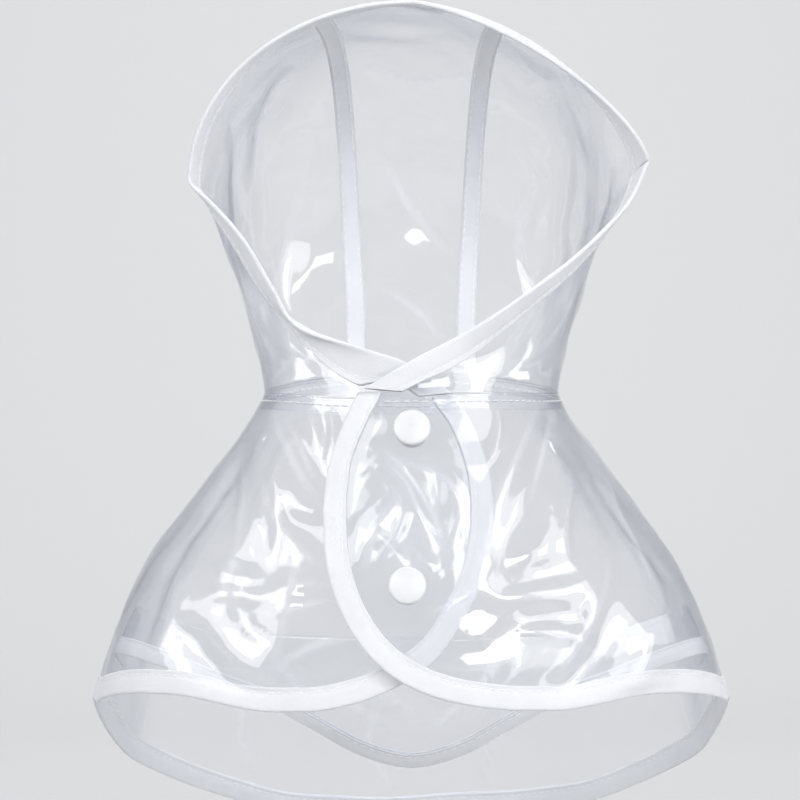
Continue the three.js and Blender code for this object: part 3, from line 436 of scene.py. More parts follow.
# flap, reach, rise, path in x and z
FRONT_CREASES = (
    ("under", 4.5, 1.5, ((-47.8, -9), (-42, -22), (-36.4, -32.5), (-26.7, -43))),
    ("under", 3.0, -0.9, ((-44, -9), (-38, -21), (-33.5, -30), (-25, -39))),
    ("under", 4.0, 1.1, ((-49.5, -15), (-48, -39), (-39, -54), (-27, -61.5))),
    ("under", 7.0, 1.3, ((-56, -22), (-57, -42), (-60, -62), (-64, -80))),
    ("under", 3.5, 1.1, ((-37.4, -53.6), (-40.5, -72), (-45.5, -93))),
    ("under", 4.0, 0.8, ((-70, -81), (-61, -89), (-51, -98))),
    ("under", 3.0, 0.8, ((-26, -71), (-34, -73), (-45, -75.5))),
    ("under", 4.5, 1.0, ((-22, -84), (-32, -86), (-44, -93))),
    ("under", 3.0, -0.8, ((-29, -12), (-30.5, -24), (-27.5, -34))),
    ("under", 5.0, 0.9, ((-76, -62), (-80, -80), (-88, -100))),
    ("under", 4.5, -1.0, ((-96, -108), (-90, -101), (-82, -92))),
    ("under", 4.0, 1.0, ((-9, -24), (2, -28), (12.4, -33), (18.2, -45.5), (17.2, -61))),
    ("under", 3.0, -0.8, ((-4, -40), (-11, -48), (-16, -63))),
    ("over", 3.2, 0.9, ((-5, -39), (-11.5, -48), (-16.5, -62))),
    ("over", 3.6, -0.9, ((-9, -23), (0, -33), (7, -44), (11, -58))),
    ("over", 4.5, 1.5, ((42.6, -7), (35, -24), (27.6, -41), (24.7, -54), (22.5, -68))),
    ("over", 3.5, -0.9, ((49, -9), (43, -24), (38, -40))),
    ("over", 3.6, 1.3, ((20.5, -67), (28.6, -71.5), (42, -70.5), (51.4, -69), (60, -66))),
    ("over", 3.6, 1.1, ((57.2, -66.6), (59, -76), (54, -86), (46, -93))),
    ("over", 3.2, 0.9, ((6, -92.6), (19, -94), (32.5, -91))),
    ("over", 4.5, 1.2, ((65, -62), (59, -78), (45, -98))),
    ("over", 4.0, -1.0, ((72, -76), (63, -88), (54, -99))),
    ("over", 5.0, 1.0, ((60, -18), (67, -38), (76, -58), (85, -80))),
    ("over", 5.0, 1.1, ((76, -98), (84, -109), (91, -115))),
    ("over", 3.0, 0.7, ((5, -76), (13, -73), (21, -68))),
    ("over", 2.6, 1.0, ((-9, -27), (-2, -34), (2, -43), (7, -53))),
    ("over", 2.2, -0.8, ((-3, -29), (3, -37), (8, -47))),
    ("over", 2.2, 0.9, ((10, -31), (14, -38), (15, -47), (12, -56))),
    ("over", 2.4, 0.8, ((-14, -50), (-8, -54), (-3, -61))),
    ("under", 2.2, 0.9, ((-8, -33), (-3, -41), (-6, -51), (-12, -58))),
    ("under", 2.2, -0.8, ((6, -26), (9, -34), (8, -44))),
    ("under", 2.4, 0.8, ((8, -62), (2, -57), (-4, -52))),
    ("under", 2.6, 1.0, ((-40, -67), (-50, -71), (-62, -70), (-72, -73))),
    ("under", 2.6, -0.9, ((-46, -86), (-54, -80), (-58, -70), (-57, -58))),
    ("under", 2.4, 0.9, ((-23, -68), (-32, -66.5), (-40, -67))),
    ("under", 2.2, 0.9, ((-45, -30), (-44, -46), (-46, -60))),
    ("under", 2.0, 0.9, ((-28, -9), (-27, -17), (-29, -27))),
    ("under", 2.0, 0.8, ((-35, -9), (-33, -16), (-30, -24))),
    ("over", 2.4, 1.0, ((30, -76), (38, -82), (52, -84), (62, -90))),
    ("over", 2.4, -0.8, ((26, -86), (34, -80), (48, -77), (58, -79))),
    ("over", 2.2, 0.9, ((54, -30), (50, -44), (50, -58), (56, -66))),
    ("over", 2.0, 0.8, ((27, -9), (28, -18), (25, -28))),
)

# reach, rise, path in angle (right side negative) and drop
ROUND_CREASES = (
    (6.0, 1.4, ((-100, 0.12), (-106, 0.35), (-104, 0.6))),
    (5.0, -1.2, ((-116, 0.2), (-112, 0.5), (-117, 0.8))),
    (5.0, 1.3, ((-140, 0.06), (-134, 0.3), (-141, 0.55))),
    (4.5, 1.1, ((-128, 0.52), (-141, 0.6), (-156, 0.57))),
    (5.0, 1.2, ((-166, 0.1), (-160, 0.34), (-168, 0.62))),
    (4.5, -1.0, ((-150, 0.7), (-146, 0.82), (-150, 0.94))),
    (5.0, 1.3, ((172, 0.42), (163, 0.5), (150, 0.47), (141, 0.53))),
    (5.0, 1.2, ((158, 0.08), (154, 0.26), (160, 0.44))),
    (4.5, -1.1, ((166, 0.6), (162, 0.78), (167, 0.93))),
    (5.0, 1.3, ((131, 0.1), (126, 0.32), (130, 0.6))),
    (4.5, 1.0, ((112, 0.62), (124, 0.69), (138, 0.66))),
    (5.0, -1.2, ((108, 0.16), (112, 0.42), (106, 0.7))),
    (6.0, 1.3, ((96, 0.1), (98, 0.3), (95, 0.52))),
    (4.5, 1.0, ((-178, 0.7), (-172, 0.82), (-177, 0.95))),
)

cape_at = cape_lines()


def film_distances(slant, total, rows=CAPE_ROWS):
    return lerp((EDGE_INSET / slant)[:, None], total[:, None], np.linspace(0, 1, rows))


def edge_weight(distances, edge_fade=(6, 15), seam_fade=7):
    """Creases die out where the tape and the seam hold the film."""
    left = distances[:, -1:] - distances
    return smoothstep(distances, *edge_fade) * smoothstep(left, 0, seam_fade)


cape_grid, cape_distances = panel_grid(cape_at, film_distances)
cape_normals = grid_normals(cape_grid)
if cape_normals[len(cape_normals) // 2, 2, 1] < 0:
    cape_normals = -cape_normals
cape_is_over = np.arange(len(cape_grid))[:, None] < len(cape_grid) / 2
in_front = cape_grid[..., 1] < -20
cape_creases = []
for flap, reach, rise, path in FRONT_CREASES:
    angle, drop = place_on_front(*np.transpose(path))
    line = cape_point(angle if flap == "over" else 360 + angle, drop)
    cape_creases.append((line, reach, rise, cape_is_over == (flap == "over")))
for reach, rise, path in ROUND_CREASES:
    angle, drop = np.transpose(path)
    line = cape_point(np.where(angle < 0, 360 + angle, angle), drop)
    cape_creases.append((line, reach, rise, ~in_front))
cape_weight = edge_weight(cape_distances)
cape_grid = cape_grid + cape_normals * (ripple(cape_grid) * cape_weight)[..., None]
cape_grid, cape_sharp = press(cape_grid, cape_normals, cape_creases, cape_weight)
cape = add_film("cape_film", cape_grid, cape_sharp)
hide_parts("cape")

# %% [markdown]
# ## Folded tape
#
# The tape is woven ribbon folded round the film's edge and sewn through. A flat strip would have
# no thickness at the hem, so its section is a narrow loop: out over the top, round the fold, back
# underneath, and home along the inside. It is pinched where the stitches pull it down.

# %% Tape section
TAPE_CLOTH = 0.3
TAPE_HALF = 0.72  # half the thickness of the folded tape
STITCH_AT = 0.79  # the line of stitches, as a share of the width from the fold
TAPE_PUFF = 0.16  # how much fuller the tape is in the middle of its width
PINCH = {"depth": 0.34, "reach": 0.75}  # where the stitches pull it down
TAPE_TOP = (1.0, 0.95, 0.88, 0.83, 0.79, 0.75, 0.68, 0.55, 0.4, 0.27, 0.17)


def half_height(share, width):
    """How far the tape's surface stands off the film, by the share of its width from the fold."""
    soft = 1 + TAPE_PUFF * np.sin(np.pi * np.clip(share, 0, 1))
    pinched = 1 - PINCH["depth"] * np.exp(-(((share - STITCH_AT) * width / PINCH["reach"]) ** 2))
    fold = np.sqrt(np.clip(1 - (1 - share * width / TAPE_HALF) ** 2, 0, 1))
    fold = np.where(share * width < TAPE_HALF, fold, 1)
    return TAPE_HALF * soft * pinched * fold


def tape_section(width):
    """Shares of the width, and heights as shares of full size, round one section."""
    turn = np.array([0.09, 0.045, 0.015, 0.0])
    top = np.concatenate([TAPE_TOP, turn])
    outside = np.concatenate([top, top[-2::-1]])
    sides = np.where(np.arange(len(outside)) < len(top), 1, -1)
    heights = sides * half_height(outside, width)
    inner = np.array([1.0, 0.8, 0.5, 0.25])
    inside = np.concatenate([inner, [0.12], inner[::-1]])
    inner_heights = np.maximum(half_height(inside, width) - TAPE_CLOTH, 0.16)
    inner_sides = np.concatenate([-np.ones(4), [0], np.ones(4)])
    return np.concatenate([outside, inside]), np.concatenate([heights, inner_sides * inner_heights])


def pucker(along):
    """The small unevenness of sewn tape along its length."""
    return 1 + 0.07 * np.sin(0.83 * along) * np.sin(0.31 * along + 1) + 0.05 * np.sin(1.7 * along + 2)


def add_tape(name, line_at, width, trim_ends=(0, 0)):
    """Folded tape along the outer edge of a panel's lines. Returns it and what stitches need."""
    shares, heights = tape_section(width)
    columns = np.linspace(0, 1, 9)
    base, distances = panel_grid(line_at, lambda slant, total: (width / slant)[:, None] * columns)
    normals = grid_normals(base)
    first, last = trim_ends[0], len(base) - trim_ends[1]
    base, normals = base[first:last], normals[first:last]
    at = np.interp(shares, columns, np.arange(len(columns)))
    k = np.minimum(at.astype(int), len(columns) - 2)
    w = (at - k)[None, :, None]
    surface = lerp(base[:, k], base[:, k + 1], w)
    facing = unit(lerp(normals[:, k], normals[:, k + 1], w))
    along = reach_along(base[:, 4])
    points = surface + facing * (heights[None] * pucker(along)[:, None])[..., None]
    count = len(shares)
    faces = grid_faces(len(points), count, wrap=True).tolist()
    faces.append(list(range(count))[::-1])
    faces.append([(len(points) - 1) * count + n for n in range(count)])
    piece = add_mesh(
        name, points, faces,
        along=np.repeat(along, count), across=np.tile(shares * width, len(points)),
    )
    print(name, round(along[-1]), "mm long")
    return piece, (base, normals, along, width)


hem_tape, hem_seam = add_tape("hem_tape_cloth", cape_at, TAPE_WIDTH)
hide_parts("hem_tape")

# %% [markdown]
# ## The hood's form
#
# The hood has two sides and a gusset, the strip that runs over the crown and down to the nape.
# Ribs shape it from the face opening to the nape. Each rises from the neck seam to its widest
# point and arches over to the crown, and smooth curves from rib to rib make the surface.

# %% Hood tables
GUSSET_HALF = 31
GUSSET_NECK_HALF = 20
FACE_EDGE = {
    "right_out": (0, 20, 38.5, 47, 56, 66.5, 75.5),
    "right_z": (6, 12.5, 18, 32, 47, 59, 67),
    "left_out": (0, 20, 44, 54, 64, 74, 80.5),
    "left_z": (6, 17, 33.5, 41, 50, 61, 74.5),
    "y": (-45.5, -42.5, -36, -32, -28, -25, -22),
}
FACE_FOOT = {"right": -20, "left": -21.8}
FACE_ARCH = {
    "right": {"reach": (75.5, -22, 67), "crown": (-34, 127), "round": 2.0},
    "left": {"reach": (80.5, -22, 74.5), "crown": (-34, 127), "round": 1.4},
}
# foot angle, low handle (out, z), high handle (out, z), widest point, crown (y, z), roundness
HOOD_RIBS = {
    "brow": (14, (34, 16), (62, 30), (70, -8, 64), (-20, 127), 2.0),
    "temple": (38, (46, 18), (63, 28), (66, 6, 60), (-4, 125), 2.05),
    "ear": (60, (52, 16), (62, 26), (63, 22, 56), (16, 120), 2.1),
    "crown": (80, (53, 14), (59, 22), (59, 36, 50), (36, 109), 2.15),
    "back": (97, (50, 11), (53, 18), (52, 48, 40), (55, 87), 2.2),
    "poll": (112, (45, 8), (46, 13), (44, 53, 27), (63, 55), 2.3),
    "nape": (122, (40, 5), (39, 9), (36, 48, 15), (55, 26), 2.4),
}
HANDLE_SHARES = (0.33, 0.75)  # how far back each handle lies, from foot to widest point
HOOD_LAST_FOOT = 126  # degrees round the neck seam where a side's last line starts
HOOD_SHORT_SEAM = 26  # degrees of neck seam that its first line lies along, at the throat
LOWER_SHARE = 0.58  # the share of a rib's climb below its widest point
WIDEST_GUSSET = 0.98  # the most of a rib's reach that half the gusset may take
NAPE_BACK = 39.5  # how far back of the middle the gusset's corners lie on the neck seam
NECK_SEAM_ANGLE = 180 - math.degrees(math.atan2(GUSSET_NECK_HALF, NAPE_BACK))
END_POWER = 1.1  # above 1, lines meet the neck seam closer together at the throat
LAST_BEND, BEND_POWER = 4.5, 1.5  # how late the last lines turn off towards their ends
SEAM_PULL = 4  # how quickly the neck seam's own line stops pulling on the side above it
HOOD_LIFT_FADE = (30, 60)  # heights over which the flaps' lift fades on the hood
HOOD_MIDDLE = (0, 15, 50)  # inside the hood, for turning its panels' normals outward
SIDES = {"right": -1, "left": 1}


# %% Ribs
def even_curve(points):
    """A function that gives points along a dense line of points, by share of its length."""
    along = reach_along(points)

    def at(share):
        place = np.asarray(share, float) * along[-1]
        return np.stack([np.interp(place, along, points[:, axis]) for axis in range(3)], -1)

    return at


def face_edge(side):
    sign = SIDES[side]
    foot = cape_form(sign * FACE_FOOT[side], 0)
    out = sign * np.array(FACE_EDGE[side + "_out"])
    rest = np.stack([out, FACE_EDGE["y"], FACE_EDGE[side + "_z"]], -1)
    return even_curve(spline(np.concatenate([[foot], rest]), np.linspace(0, 1, 2001)))


def cheek_curve(sign, foot_angle, low, high, reach):
    """The lower part of a rib, a curve with two handles."""
    foot = cape_form(sign * foot_angle, 0)
    handles = (
        foot,
        np.array((sign * low[0], lerp(foot[1], reach[1], HANDLE_SHARES[0]), low[1])),
        np.array((sign * high[0], lerp(foot[1], reach[1], HANDLE_SHARES[1]), high[1])),
        np.array((sign * reach[0], reach[1], reach[2])),
    )
    t = np.linspace(0, 1, 1001)[:, None]
    weights = ((1 - t) ** 3, 3 * t * (1 - t) ** 2, 3 * t**2 * (1 - t), t**3)
    return even_curve(sum(weight * handle for weight, handle in zip(weights, handles)))


def ribs_of(side):
    sign = SIDES[side]
    arch = FACE_ARCH[side]
    ribs = [(face_edge(side), arch["reach"], arch["crown"], arch["round"])]
    for foot, low, high, reach, crown, roundness in HOOD_RIBS.values():
        ribs.append((cheek_curve(sign, foot, low, high, reach), reach, crown, roundness))
    return ribs


def rib_point(rib, sign, climb):
    """climb runs from 0 at the foot to 1 at the widest point and 2 at the middle of the crown."""
    lower, reach, crown, roundness = rib
    arch = np.radians(90 * np.clip(climb - 1, 0, 1))
    power = 2 / roundness
    out = sign * reach[0] * np.maximum(0, np.cos(arch)) ** power
    upper = (out, lerp(reach[1], crown[0], np.sin(arch)), lerp(reach[2], crown[1], np.sin(arch) ** power))
    return np.where((climb <= 1)[..., None], lower(np.clip(climb, 0, 1)), np.stack(upper, -1))


def seam_climb(rib, half):
    """How far round a rib's arch the gusset's seam lies."""
    share = min(WIDEST_GUSSET, half / rib[1][0])
    return 1 + math.acos(share ** (rib[3] / 2)) / (math.pi / 2)


def gusset_half(n):
    return lerp(GUSSET_HALF, GUSSET_NECK_HALF, n / len(HOOD_RIBS))


def hood_side(side):
    """The surface of one side: back runs from the face opening to the nape, up from foot to seam."""
    sign, ribs = SIDES[side], ribs_of(side)
    feet = [FACE_FOOT[side], *(rib[0] for rib in HOOD_RIBS.values()), HOOD_LAST_FOOT]
    feet = {"at": np.linspace(0, 1, len(feet)), "foot": feet}

    def frame_points(up):
        points = []
        for n, rib in enumerate(ribs):
            upper = lerp(1, seam_climb(rib, gusset_half(n)), (up - LOWER_SHARE) / (1 - LOWER_SHARE))
            points.append(rib_point(rib, sign, np.where(up < LOWER_SHARE, up / LOWER_SHARE, upper)))
        points.append(cape_form(sign * lerp(HOOD_LAST_FOOT, NECK_SEAM_ANGLE, up), 0))
        return np.stack(points, -2)

    def at(back, up):
        place = spline(frame_points(up), back)
        seam = cape_form(sign * through(feet, "foot", "at", back), 0)
        onto_seam = seam - spline(frame_points(np.zeros_like(up)), back)
        return place + onto_seam * ((1 - up) ** SEAM_PULL)[..., None]

    return at, lambda back: through(feet, "foot", "at", back)


def lift_flap(points, side):
    """Each half of the hood's lower front stands off with the flap that it is sewn to."""
    angle = np.degrees(np.arctan2(points[..., 0], -points[..., 1]))
    past = angle * SIDES[side]
    near = (1 - smoothstep(past, *FLAP_LIFT_FADE)) * (1 - smoothstep(points[..., 2], *HOOD_LIFT_FADE))
    return points + cape_facing(angle, 0.01) * (SIDES[side] * FLAP_LIFT * near)[..., None]


# %% [markdown]
# A side's lines all end on the neck seam. The first lies along that seam from the throat, the
# last runs along the gusset seam to the nape, and the others fan out between them.


# %% Hood lines
def side_lines(side, count):
    at, foot_angle = hood_side(side)
    share = np.linspace(0, 1, count)
    end_angle = lerp(FACE_FOOT[side] + HOOD_SHORT_SEAM, NECK_SEAM_ANGLE, share**END_POWER)
    backs = np.linspace(0, 1, 2001)
    end_back = np.where(end_angle < HOOD_LAST_FOOT, np.interp(end_angle, foot_angle(backs), backs), 1)
    end_up = np.maximum(0, (end_angle - HOOD_LAST_FOOT) / (NECK_SEAM_ANGLE - HOOD_LAST_FOOT))
    bend = lerp(1, LAST_BEND, share**BEND_POWER)

    def line_at(t):
        t = np.broadcast_to(t, (count, t.shape[-1]))
        up = lerp(share[:, None], end_up[:, None], t ** bend[:, None])
        return lift_flap(at(end_back[:, None] * t, up), side)

    return line_at


def gusset_point(back, across):
    """The gusset: across runs from -1 at the right seam to 1 at the left one."""
    back, across = np.broadcast_arrays(back, across)
    halves = []
    for side, sign in SIDES.items():
        points = []
        for n, rib in enumerate(ribs_of(side)):
            climb = lerp(2, seam_climb(rib, gusset_half(n)), np.abs(across))
            points.append(rib_point(rib, sign, climb))
        points.append(cape_form(180 - (180 - NECK_SEAM_ANGLE) * across, 0))
        halves.append(spline(np.stack(points, -2), back))
    return np.where((across < 0)[..., None], halves[0], halves[1])


def gusset_lines(count):
    across = np.linspace(-1, 1, count)[:, None]
    return lambda t: gusset_point(np.broadcast_to(t, (count, t.shape[-1])), across)


# %% [markdown]
# ## Hood panels
#
# Creases on the sides are given by how far back and how far up they lie, and on the gusset by how
# far back and across. The sides have long soft folds that fall from the opening's corners, as
# film does when it hangs from a curved edge.

# %% Hood panels
SIDE_LINE_COUNT = 118
HOOD_ROWS = 76
GUSSET_LINE_COUNT = 42

# reach, rise, path in back and up
SIDE_CREASES = {
    "right": (
        (5.0, 1.3, ((0.02, 0.5), (0.16, 0.42), (0.3, 0.24), (0.36, 0.08))),
        (4.0, -0.9, ((0.04, 0.36), (0.16, 0.3), (0.25, 0.14))),
        (5.5, 1.2, ((0.06, 0.7), (0.2, 0.74), (0.38, 0.66), (0.5, 0.5))),
        (5.0, 1.0, ((0.3, 0.9), (0.42, 0.78), (0.56, 0.72))),
        (5.0, -1.1, ((0.44, 0.42), (0.58, 0.44), (0.7, 0.36))),
        (4.5, 1.0, ((0.62, 0.9), (0.7, 0.66), (0.72, 0.4))),
        (4.0, 0.9, ((0.1, 0.22), (0.2, 0.12), (0.3, 0.04))),
        (4.0, 0.9, ((0.5, 0.16), (0.6, 0.26), (0.68, 0.2))),
    ),
    "left": (
        (5.0, 1.4, ((0.02, 0.56), (0.12, 0.44), (0.24, 0.3), (0.28, 0.1))),
        (4.5, -1.0, ((0.05, 0.46), (0.2, 0.4), (0.34, 0.22))),
        (5.0, 1.2, ((0.04, 0.66), (0.18, 0.62), (0.34, 0.5), (0.42, 0.3))),
        (5.0, 1.1, ((0.08, 0.86), (0.22, 0.84), (0.4, 0.9))),
        (5.0, -1.0, ((0.4, 0.7), (0.52, 0.62), (0.6, 0.44))),
        (4.5, 1.1, ((0.58, 0.8), (0.7, 0.82), (0.8, 0.66))),
        (4.0, 0.9, ((0.08, 0.3), (0.14, 0.16), (0.2, 0.06))),
        (4.0, 0.8, ((0.46, 0.2), (0.56, 0.14), (0.64, 0.26))),
    ),
}
GUSSET_CREASES = (
    (4.5, 1.0, ((0.04, -0.5), (0.14, -0.15), (0.22, 0.3))),
    (5.0, -1.0, ((0.3, -0.8), (0.36, -0.2), (0.34, 0.5))),
    (4.5, 1.1, ((0.48, 0.7), (0.52, 0.1), (0.46, -0.6))),
    (4.5, 1.0, ((0.62, -0.5), (0.72, 0.0), (0.78, 0.6))),
    (4.0, -0.9, ((0.84, -0.4), (0.88, 0.1), (0.93, 0.5))),
)


def outward(grid, normals):
    """Turns a hood panel's normals away from the middle of the hood."""
    away = grid - np.array(HOOD_MIDDLE)
    return normals * np.sign(np.mean(np.sum(normals * away, -1)))


def add_hood_panel(name, line_at, creases, surface):
    grid, distances = panel_grid(line_at, lambda slant, total: film_distances(slant, total, HOOD_ROWS), 80)
    normals = outward(grid, grid_normals(grid))
    from_first = reach_along(np.swapaxes(grid, 0, 1)).T
    from_seam = np.minimum(from_first, from_first[-1] - from_first)
    weight = edge_weight(distances) * smoothstep(from_seam, 0, 8)
    grid = grid + normals * (ripple(grid) * weight)[..., None]
    lines = [(surface(*np.transpose(path)), reach, rise, True) for reach, rise, path in creases]
    grid, sharp = press(grid, normals, lines, weight)
    return add_film(name, grid, sharp)


hood_pieces = {}
for side in SIDES:
    surface = hood_side(side)[0]
    hood_pieces[side] = add_hood_panel(
        f"hood_{side}_film", side_lines(side, SIDE_LINE_COUNT), SIDE_CREASES[side], surface
    )
    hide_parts(f"hood_{side}")
hood_gusset = add_hood_panel(
    "hood_gusset_film", gusset_lines(GUSSET_LINE_COUNT), GUSSET_CREASES, gusset_point
)
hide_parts("hood_gusset")


# %% Tape round the face opening
SIDE_STATIONS = 90
GUSSET_STATIONS = 30


def whole_hood(t):
    t = np.broadcast_to(t, (2 * SIDE_STATIONS + GUSSET_STATIONS - 2, t.shape[-1]))
    gusset_start = SIDE_STATIONS - 1
    gusset_end = gusset_start + GUSSET_STATIONS
    right = side_lines("right", SIDE_STATIONS)(t[:SIDE_STATIONS])
    gusset = gusset_lines(GUSSET_STATIONS)(t[gusset_start:gusset_end])
    left = side_lines("left", SIDE_STATIONS)(t[gusset_end - 1:][::-1])[::-1]
    return np.concatenate([right[:-1], gusset, left[1:]])


hood_tape, hood_seam = add_tape("hood_tape_cloth", whole_hood, TAPE_WIDTH, trim_ends=(1, 1))
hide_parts("hood_tape")

# %% [markdown]
# ## Seam tapes inside the hood
#
# A flat tape covers each seam between a side and the gusset on the inside, and shows through the
# film. It follows both panels, so its section is five points: the seam and two on each side.

# %% Seam tapes
SEAM_TAPE_WIDTH = 7
SEAM_TAPE_OFFSET = -0.42  # from the middle of the film to the middle of the tape
SEAM_TAPE_ROWS = 110
SEAM_TAPE_RUN = (0.035, 0.985)  # how far back it starts and ends
SEAM_TAPE_COLUMNS = (-0.5, -0.3, 0, 0.3, 0.5)  # across its width
MEASURING_STEP = 0.004


def add_seam_tape(side):
    surface = hood_side(side)[0]
    sign = SIDES[side]
    back = np.linspace(*SEAM_TAPE_RUN, SEAM_TAPE_ROWS)
    one = np.ones_like(back)
    step = MEASURING_STEP
    per_up = np.linalg.norm(surface(back, one) - surface(back, one - step), axis=-1) / step
    seam = gusset_point(back, sign * one)
    per_across = np.linalg.norm(seam - gusset_point(back, sign * (one - step)), axis=-1) / step
    columns = []
    for out in SEAM_TAPE_COLUMNS:
        reach = out * SEAM_TAPE_WIDTH
        if out < 0:
            columns.append(surface(back, one + reach / per_up))
        else:
            columns.append(gusset_point(back, sign * (one - reach / per_across)))
    grid = np.stack(columns, 1)
    normals = outward(grid, grid_normals(grid))
    grid = grid + normals * SEAM_TAPE_OFFSET
    along = reach_along(grid[:, 2])
    across = (np.array(SEAM_TAPE_COLUMNS) + 0.5) * SEAM_TAPE_WIDTH
    piece = add_mesh(
        f"seam_tape_{side}_cloth", grid, grid_faces(*grid.shape[:2]),
        along=np.repeat(along, len(SEAM_TAPE_COLUMNS)), across=np.tile(across, len(along)),
    )
    shell = piece.modifiers.new("tape thickness", "SOLIDIFY")
    shell.thickness = TAPE_CLOTH * MM
    shell.offset = 0
    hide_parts(f"seam_tape_{side}")
    return piece, (grid, normals, along, SEAM_TAPE_WIDTH)


seam_tapes = {side: add_seam_tape(side) for side in SIDES}

# %% [markdown]
# ## The neck seam's allowance
#
# Cape and hood are sewn together with a narrow lap. Film hides nothing, so the lap shows from
# outside as a paler band under the seam. It is a strip laid on the inside of the cape.

# %% Neck lap
NECK_LAP_WIDTH = 6
NECK_LAP_OFFSET = -0.4  # from the middle of the cape's film to the middle of the lap
NECK_LAP_ENDS = (-13, 371)  # clear of the edge tapes, in degrees round from the front
NECK_LAP_STATIONS = 300
NECK_LAP_REACH = (0, 0.12)  # the drops that hold it
NECK_LAP_CREASE = 0.25  # how milky it is, as if creased all over
NECK_STITCH_AT = 0.45

neck_angles = np.linspace(*NECK_LAP_ENDS, NECK_LAP_STATIONS)[:, None]
down_cape = np.linspace(*NECK_LAP_REACH, 40)
neck_dense = cape_point(np.broadcast_to(neck_angles, (len(neck_angles), len(down_cape))), down_cape)
lap_columns = np.linspace(0.6, NECK_LAP_WIDTH, 6)
lap_drops = np.stack([np.interp(lap_columns, along, down_cape) for along in reach_along(neck_dense)])
neck_grid = cape_point(np.broadcast_to(neck_angles, lap_drops.shape), lap_drops)
neck_normals = grid_normals(neck_grid)
neck_normals = neck_normals * np.sign(np.mean(np.sum(neck_normals * neck_grid * (1, 1, 0), -1)))
neck_grid = neck_grid + neck_normals * NECK_LAP_OFFSET
neck_lap = add_film("neck_lap_film", neck_grid, np.full(neck_grid.shape[:2], NECK_LAP_CREASE))
neck_seam = (neck_grid, neck_normals, reach_along(neck_grid[:, 2]), NECK_LAP_WIDTH)

# %% [markdown]
# ## Belly panel
#
# Behind the front hem hangs an apron of the same film. Its ends lap on the inside of the cape, and
# its lower edge dips in the middle and has a narrower tape.

# %% Belly panel
BELLY = {"reach": 84, "y": -30, "mid_y": -31, "side_y": 6, "top_z": -86, "mid_z": -98, "low_z": -102}
BELLY_DIP = {"depth": 29, "width": 44, "tuck": 9, "mid_share": 0.55}
BELLY_SHARES = (-0.8, -0.6, -0.4, -0.2, 0, 0.2, 0.4, 0.6, 0.8)  # of its reach, to each side
BELLY_LAP = {"angles": (104, 96), "top": 0.72, "low": 0.86, "depth": 3.3}
BELLY_TAPE_WIDTH = 6
BELLY_LINE_COUNT = 96
BELLY_ROWS = 22
BELLY_CREASES = (
    (4.0, 1.2, ((-34, -106), (-20, -110), (-6, -118))),
    (3.6, -1.0, ((-18, -96), (-10, -106), (4, -112))),
    (4.0, 1.1, ((24, -98), (14, -110), (2, -120))),
    (3.6, 1.0, ((38, -94), (30, -104), (16, -116))),
    (4.0, -0.9, ((-46, -94), (-40, -102), (-28, -108))),
)


def belly_lines():
    def lap(angle, drop):
        round_angle = angle if angle > 0 else 360 + angle
        inward = cape_facing(round_angle, drop) * BELLY_LAP["depth"]
        return cape_point(np.array(round_angle), np.array(drop)) - inward

    rows = {"low": [], "mid": [], "top": []}

    def add_lap(angles):
        for angle in angles:
            rows["low"].append(lap(angle, BELLY_LAP["low"]))
            rows["mid"].append(lap(angle, (BELLY_LAP["low"] + BELLY_LAP["top"]) / 2))
            rows["top"].append(lap(angle, BELLY_LAP["top"]))

    add_lap([-angle for angle in BELLY_LAP["angles"]])
    for share in BELLY_SHARES:
        x = share * BELLY["reach"]
        y = lerp(BELLY["y"], BELLY["side_y"], share**2)
        dip = math.exp(-((x / BELLY_DIP["width"]) ** 2))
        depth = BELLY_DIP["depth"] * dip
        rows["low"].append((x, y + BELLY_DIP["tuck"] * dip, BELLY["low_z"] - depth))
        mid_y = lerp(BELLY["mid_y"], BELLY["side_y"] - 1, share**2)
        rows["mid"].append((x, mid_y, BELLY["mid_z"] - BELLY_DIP["mid_share"] * depth))
        rows["top"].append((x, y, BELLY["top_z"]))
    add_lap(BELLY_LAP["angles"][::-1])
    t = np.linspace(0, 1, BELLY_LINE_COUNT)
    levels = np.stack([spline(np.array(points, float), t) for points in rows.values()], 1)
    return lambda t: spline(levels[:, None], np.broadcast_to(t, (BELLY_LINE_COUNT, t.shape[-1])))


belly_at = belly_lines()
belly_grid, belly_distances = panel_grid(
    belly_at, lambda slant, total: film_distances(slant, total, BELLY_ROWS), 30
)
belly_normals = grid_normals(belly_grid)
if belly_normals[BELLY_LINE_COUNT // 2, 4, 1] > 0:
    belly_normals = -belly_normals
belly_paths = []
for reach, rise, path in BELLY_CREASES:
    x, z = np.transpose(path)
    gaps = np.hypot(belly_grid[..., 0][..., None] - x, belly_grid[..., 2][..., None] - z)
    nearest = gaps.reshape(-1, len(x)).argmin(0)
    belly_paths.append((belly_grid.reshape(-1, 3)[nearest], reach, rise, True))
belly_weight = smoothstep(belly_distances, 5, 9)
belly_grid, belly_sharp = press(belly_grid, belly_normals, belly_paths, belly_weight)
belly = add_film("belly_panel_film", belly_grid, belly_sharp)
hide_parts("belly_panel")
belly_tape, belly_seam = add_tape("belly_tape_cloth", belly_at, BELLY_TAPE_WIDTH)
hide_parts("belly_tape")

# %% [markdown]
# ## Stitches
#
# A lockstitch shows as short dashes of thread, each pulled down at its ends where the needle went
# through. One stitch is a bent tube of a few rings. A loop lays it along every tape, on both
# faces, and joins them to one mesh for each tape.

# %% Stitches
STITCH_PITCH = 3.1
STITCH_LENGTH = 2.3
THREAD_RADIUS = 0.17
STITCH_RISE = (-0.16, 0.1, 0.15, 0.1, -0.16)  # of the thread's middle over the tape, end to end
THREAD_SIDES = 6


